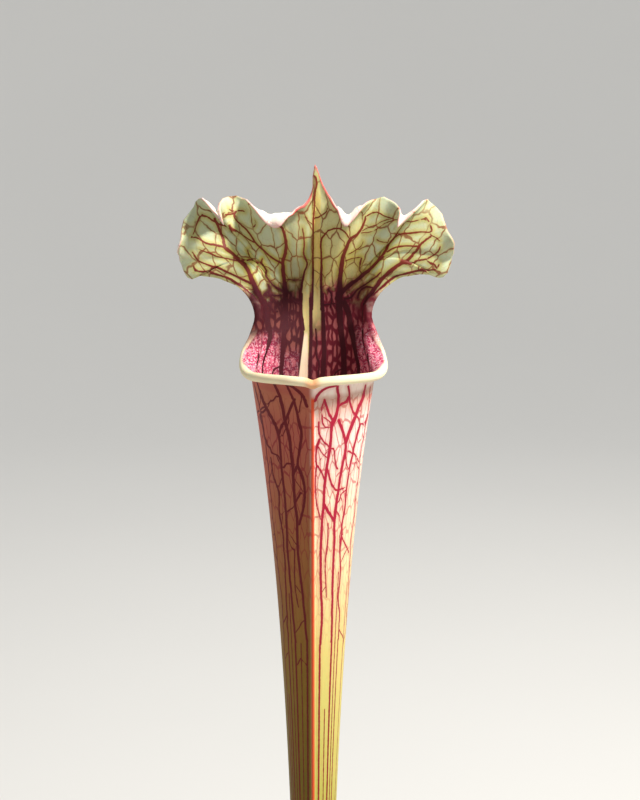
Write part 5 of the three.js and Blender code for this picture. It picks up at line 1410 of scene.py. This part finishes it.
# Young pitchers
# Two small leaves of the same build as the tall one, one on each side of it. Their hoods are shorter
# and their colours greener and plainer, and they lean out from the rhizome.
young_tube = (
    (0, tint(120, 84, 52)), (0.3, tint(138, 150, 66)), (0.6, tint(170, 172, 84)),
    (0.93, tint(206, 190, 120)),
)
young = (
    {"name": "young_right", "x": 17, "y": 8, "turn": 68, "lean": 26,
     "lip": 80, "size": 0.42, "lip_flare": 1.14},
    {"name": "young_left", "x": -17.5, "y": 0, "turn": -58, "lean": 24,
     "lip": 66, "size": 0.38, "lip_flare": 1.16},
)
for leaf in young:
    leaf.update(ruffle=0.35, lip_roll=0.6, wall=0.8, hood=0.62)
    body, (degrees, ups, sheet, middle), flat = pitcher_body(leaf, 150, np.arange(44) / 44, 30, 6)
    surface = Sheet(degrees, ups, middle)
    veins = []
    spines = [12, 26, 42, 60, 80]
    for a in [*spines, *(360 - s for s in spines)]:
        knots = [(a, 1.0), (a + draw.uniform(-2, 2), 0.6), (a, 0.3), (a, 0.02)]
        veins.append(surface.vein(0.28, 0.12, knots))
    back_spines = [100, 112, 120, 128, 139, 151, 166, 180, 194, 209, 221, 232, 240, 248, 260]
    for a in back_spines:
        knots = [(a, 1.92), (a + draw.uniform(-1, 1), 1.5), (a, 1.0), (a, 0.5), (a, 0.02)]
        veins.append(surface.vein(0.2, 0.16, knots))
    veins += links(surface, back_spines, 0.75, 1.8, 0.11, 0.16)
    veins += links(surface, [12, 26, 42, 60, 80, 100], 0.7, 0.98, 0.08, 0.14)
    veins += links(surface, [260, 280, 300, 318, 334, 348], 0.7, 0.98, 0.08, 0.14)
    mark_veins(body, flat, veins)
    skin = pitcher_skin(leaf["name"] + "_skin", young_tube, tint(144, 48, 46), tint(152, 52, 48), 0.7)
    settle(body, leaf["name"] + "_pitcher", skin, "pitcher_" + leaf["name"])

# Flat leaves and closed pitcher
# Sword-shaped leaves without a tube stand between the pitchers, green with a red edge, and one young
# pitcher is still shut: a rolled bud that swells towards its tip. All rise from the rhizome.
# A shape gives the half width and half thickness in millimetres at shares of the height.
BLADE_SHAPE = np.array([
    (0, 3, 1.9), (0.1, 3.2, 1.7), (0.25, 4.8, 1.3), (0.5, 6.2, 1.1), (0.75, 5, 0.9), (0.92, 2.4, 0.7),
    (1, 0.7, 0.5),
])
BUD_SHAPE = np.array([
    (0, 2.6, 2.6), (0.15, 2.7, 2.7), (0.45, 3.8, 3.6), (0.7, 5.6, 5), (0.84, 5.4, 4.2), (0.94, 3, 2),
    (1, 0.8, 0.7),
])
SPEAR_ROWS = 90
SPEAR_SIDES = 40
# Name, foot, way its width lies, way it leans, how far it leans, height and shape
SPEARS = (
    ("flat_leaf_back", 8.5, 8.5, -40, 50, 28, 100, BLADE_SHAPE),
    ("flat_leaf_left", -26, -2.5, 60, 150, 32, 78, BLADE_SHAPE),
    ("flat_leaf_right", 26, 9.5, 82, -5, 34, 72, BLADE_SHAPE),
    ("pitcher_bud", -9.5, 4.5, 10, 120, 9, 88, BUD_SHAPE),
)


def shape_at(shape, share):
    """Half width and half thickness at a share of the height, eased between the rows of a shape."""
    i = int(np.clip(np.searchsorted(shape[:, 0], share), 1, len(shape) - 1))
    low, high = shape[i - 1], shape[i]
    t = (share - low[0]) / (high[0] - low[0])
    t = 0.5 * t + 0.5 * t * t * (3 - 2 * t)
    return low[1:] + (high[1:] - low[1:]) * t


def spear(x, y, turn, heading, lean, height, shape, keel):
    """Points and faces of one leaf with an oval or keeled section."""
    points = []
    wide = np.array([math.cos(math.radians(turn)), math.sin(math.radians(turn)), 0])
    way = np.array([math.cos(math.radians(heading)), math.sin(math.radians(heading)), 0])
    for s in np.linspace(0, 1, SPEAR_ROWS + 1):
        here = np.array([x, y, LEAF_BASE + height * s]) + way * lean * s * s
        ahead = unit(way * 2 * lean * s + np.array([0, 0, float(height)]))
        across = unit(wide - ahead * (wide @ ahead))
        deep = np.cross(ahead, across)
        a, b = shape_at(shape, s)
        for c, d in circle(1, SPEAR_SIDES):
            thin = 1 - keel * 0.45 * abs(c) ** 1.5
            ridge = 0.05 * math.cos(14 * c * (1 - 0.3 * keel)) * keel
            thick = b * d * thin + ridge * math.copysign(1, d) * abs(d) ** 0.3
            points.append(here + across * a * c + deep * thick)
    points += [np.array([x, y, LEAF_BASE]), points[-1] + ahead * 0.1]
    return points, ring_faces(SPEAR_ROWS + 1, SPEAR_SIDES)


def spear_skin(name, low, mid, high, edge):
    """Finish of a flat leaf or the bud: its colours from foot to tip, fine stripes, and its edge."""
    paint = Paint(name)
    at = paint.place()
    zone = paint.node("ShaderNodeAttribute", {"attribute_name": "spear"}, (), "Vector")
    up = paint.node("ShaderNodeSeparateXYZ", (), {0: zone}, "Y")
    off = paint.node("ShaderNodeSeparateXYZ", (), {0: zone}, "X")
    stripes = paint.node("ShaderNodeTexWave", {"bands_direction": "X"},
                         {"Vector": zone, "Scale": 6, "Distortion": 1.2, "Detail": 2}, "Fac")
    tone = paint.ramp(up, (0.0, low), (0.12, mid), (0.6, mid), (1.0, high))
    mottle = paint.grain(180, 4, at).rise(0.35, 0.7)
    tone = paint.blend(mottle * 0.25, tone, tint(120, 132, 60))
    tone = paint.blend(stripes.rise(0.7, 0.95) * 0.3, tone, tint(84, 104, 42))
    tone = paint.blend(off.rise(0.93, 0.99) * 0.7, tone, edge)
    relief = stripes * 0.3 + paint.grain(500, 3, at) * 0.3
    through = {"subsurface_weight": 0.25, "subsurface_scale": 0.002}
    return paint.finish(tone, mottle * 0.15 + 0.42, relief, 0.3, **through)


blade_tones = (tint(176, 92, 70), tint(112, 142, 58), tint(140, 150, 66), tint(150, 62, 44))
bud_tones = (tint(172, 96, 72), tint(150, 160, 84), tint(176, 122, 96), tint(150, 70, 60))
for name, x, y, turn, heading, lean, height, shape in SPEARS:
    keel = 0 if name == "pitcher_bud" else 1
    points, faces = spear(x, y, turn, heading, lean, height, shape, keel)
    piece = from_points(name, points, faces)
    piece.data.shade_smooth()
    counts = np.arange(len(points) - 2)
    angle = 2 * np.pi * (counts % SPEAR_SIDES) / SPEAR_SIDES
    zone = np.stack([np.abs(np.cos(angle)), (counts // SPEAR_SIDES) / SPEAR_ROWS, np.sin(angle)], 1)
    store(piece, "spear", "POINT", np.concatenate([zone, [(0, 0, 0), (0, 1, 0)]]))
    skin = spear_skin(name + "_skin", *(blade_tones if keel else bud_tones))
    settle(piece, name + "_grown", skin, name)

# Floor and light
# The pot stands in a wide pale bowl: a floor that turns up into a wall all round, so that it looks
# the same from every side. One soft light stands high on the right, and a weaker one shines
# through the thin hood from behind.
BOWL_RADIUS = 3.4
BOWL_HEIGHT = 3.6
fresh()
bpy.ops.mesh.primitive_cylinder_add(vertices=96, radius=BOWL_RADIUS, depth=BOWL_HEIGHT)
floor = bpy.context.object
floor.name = "floor"
bpy.ops.object.mode_set(mode="EDIT")
bpy.ops.mesh.select_mode(type="FACE")
bpy.ops.mesh.select_all(action="DESELECT")
bpy.ops.object.mode_set(mode="OBJECT")
for face in floor.data.polygons:
    face.select = face.normal.z > 0.5
bpy.ops.object.mode_set(mode="EDIT")
bpy.ops.mesh.delete(type="FACE")
bpy.ops.mesh.select_mode(type="EDGE")
bpy.ops.mesh.select_all(action="DESELECT")
bpy.ops.object.mode_set(mode="OBJECT")
for edge in floor.data.edges:
    edge.select = all(floor.data.vertices[i].co.z < 0 for i in edge.vertices)
bpy.ops.object.mode_set(mode="EDIT")
bpy.ops.mesh.bevel(offset=1.6, segments=16)
bpy.ops.mesh.select_all(action="SELECT")
bpy.ops.mesh.flip_normals()
bpy.ops.object.mode_set(mode="OBJECT")
floor.location.z = BOWL_HEIGHT / 2
bpy.ops.object.transform_apply(location=True)
floor.data.shade_smooth()
paint = Paint("floor_card")
at = paint.place()
card = paint.blend(paint.grain(3, 3, at).rise(0.3, 0.8) * 0.2, tint(184, 183, 180), tint(176, 175, 172))
paint.shader.inputs["Emission Color"].default_value = tint(240, 240, 238)
floor.data.materials.append(paint.finish(card, 0.95, emission_strength=0.29))


def soft_light(name, place, aim, size, power, colour):
    """A round lamp at a place, turned towards its aim."""
    fresh()
    bpy.ops.object.light_add(type="AREA", location=place)
    lamp = bpy.context.object
    lamp.name = name
    lamp.data.shape = "DISK"
    lamp.data.size = size
    lamp.data.energy = power
    lamp.data.color = colour
    lamp.rotation_euler = (Vector(aim) - Vector(place)).to_track_quat("-Z", "Y").to_euler()


soft_light("key", (0.66, -0.34, 1.34), (0, 0, 0.36), 0.22, 26, (1.0, 0.96, 0.90))
soft_light("behind", (0.45, 0.8, 1.3), (0, 0, 0.38), 0.4, 7, (1.0, 0.97, 0.92))
world = bpy.data.worlds.new("studio")
bpy.context.scene.world = world
world.use_nodes = True
world.node_tree.nodes["Background"].inputs["Color"].default_value = tint(238, 240, 243)
world.node_tree.nodes["Background"].inputs["Strength"].default_value = 0.4
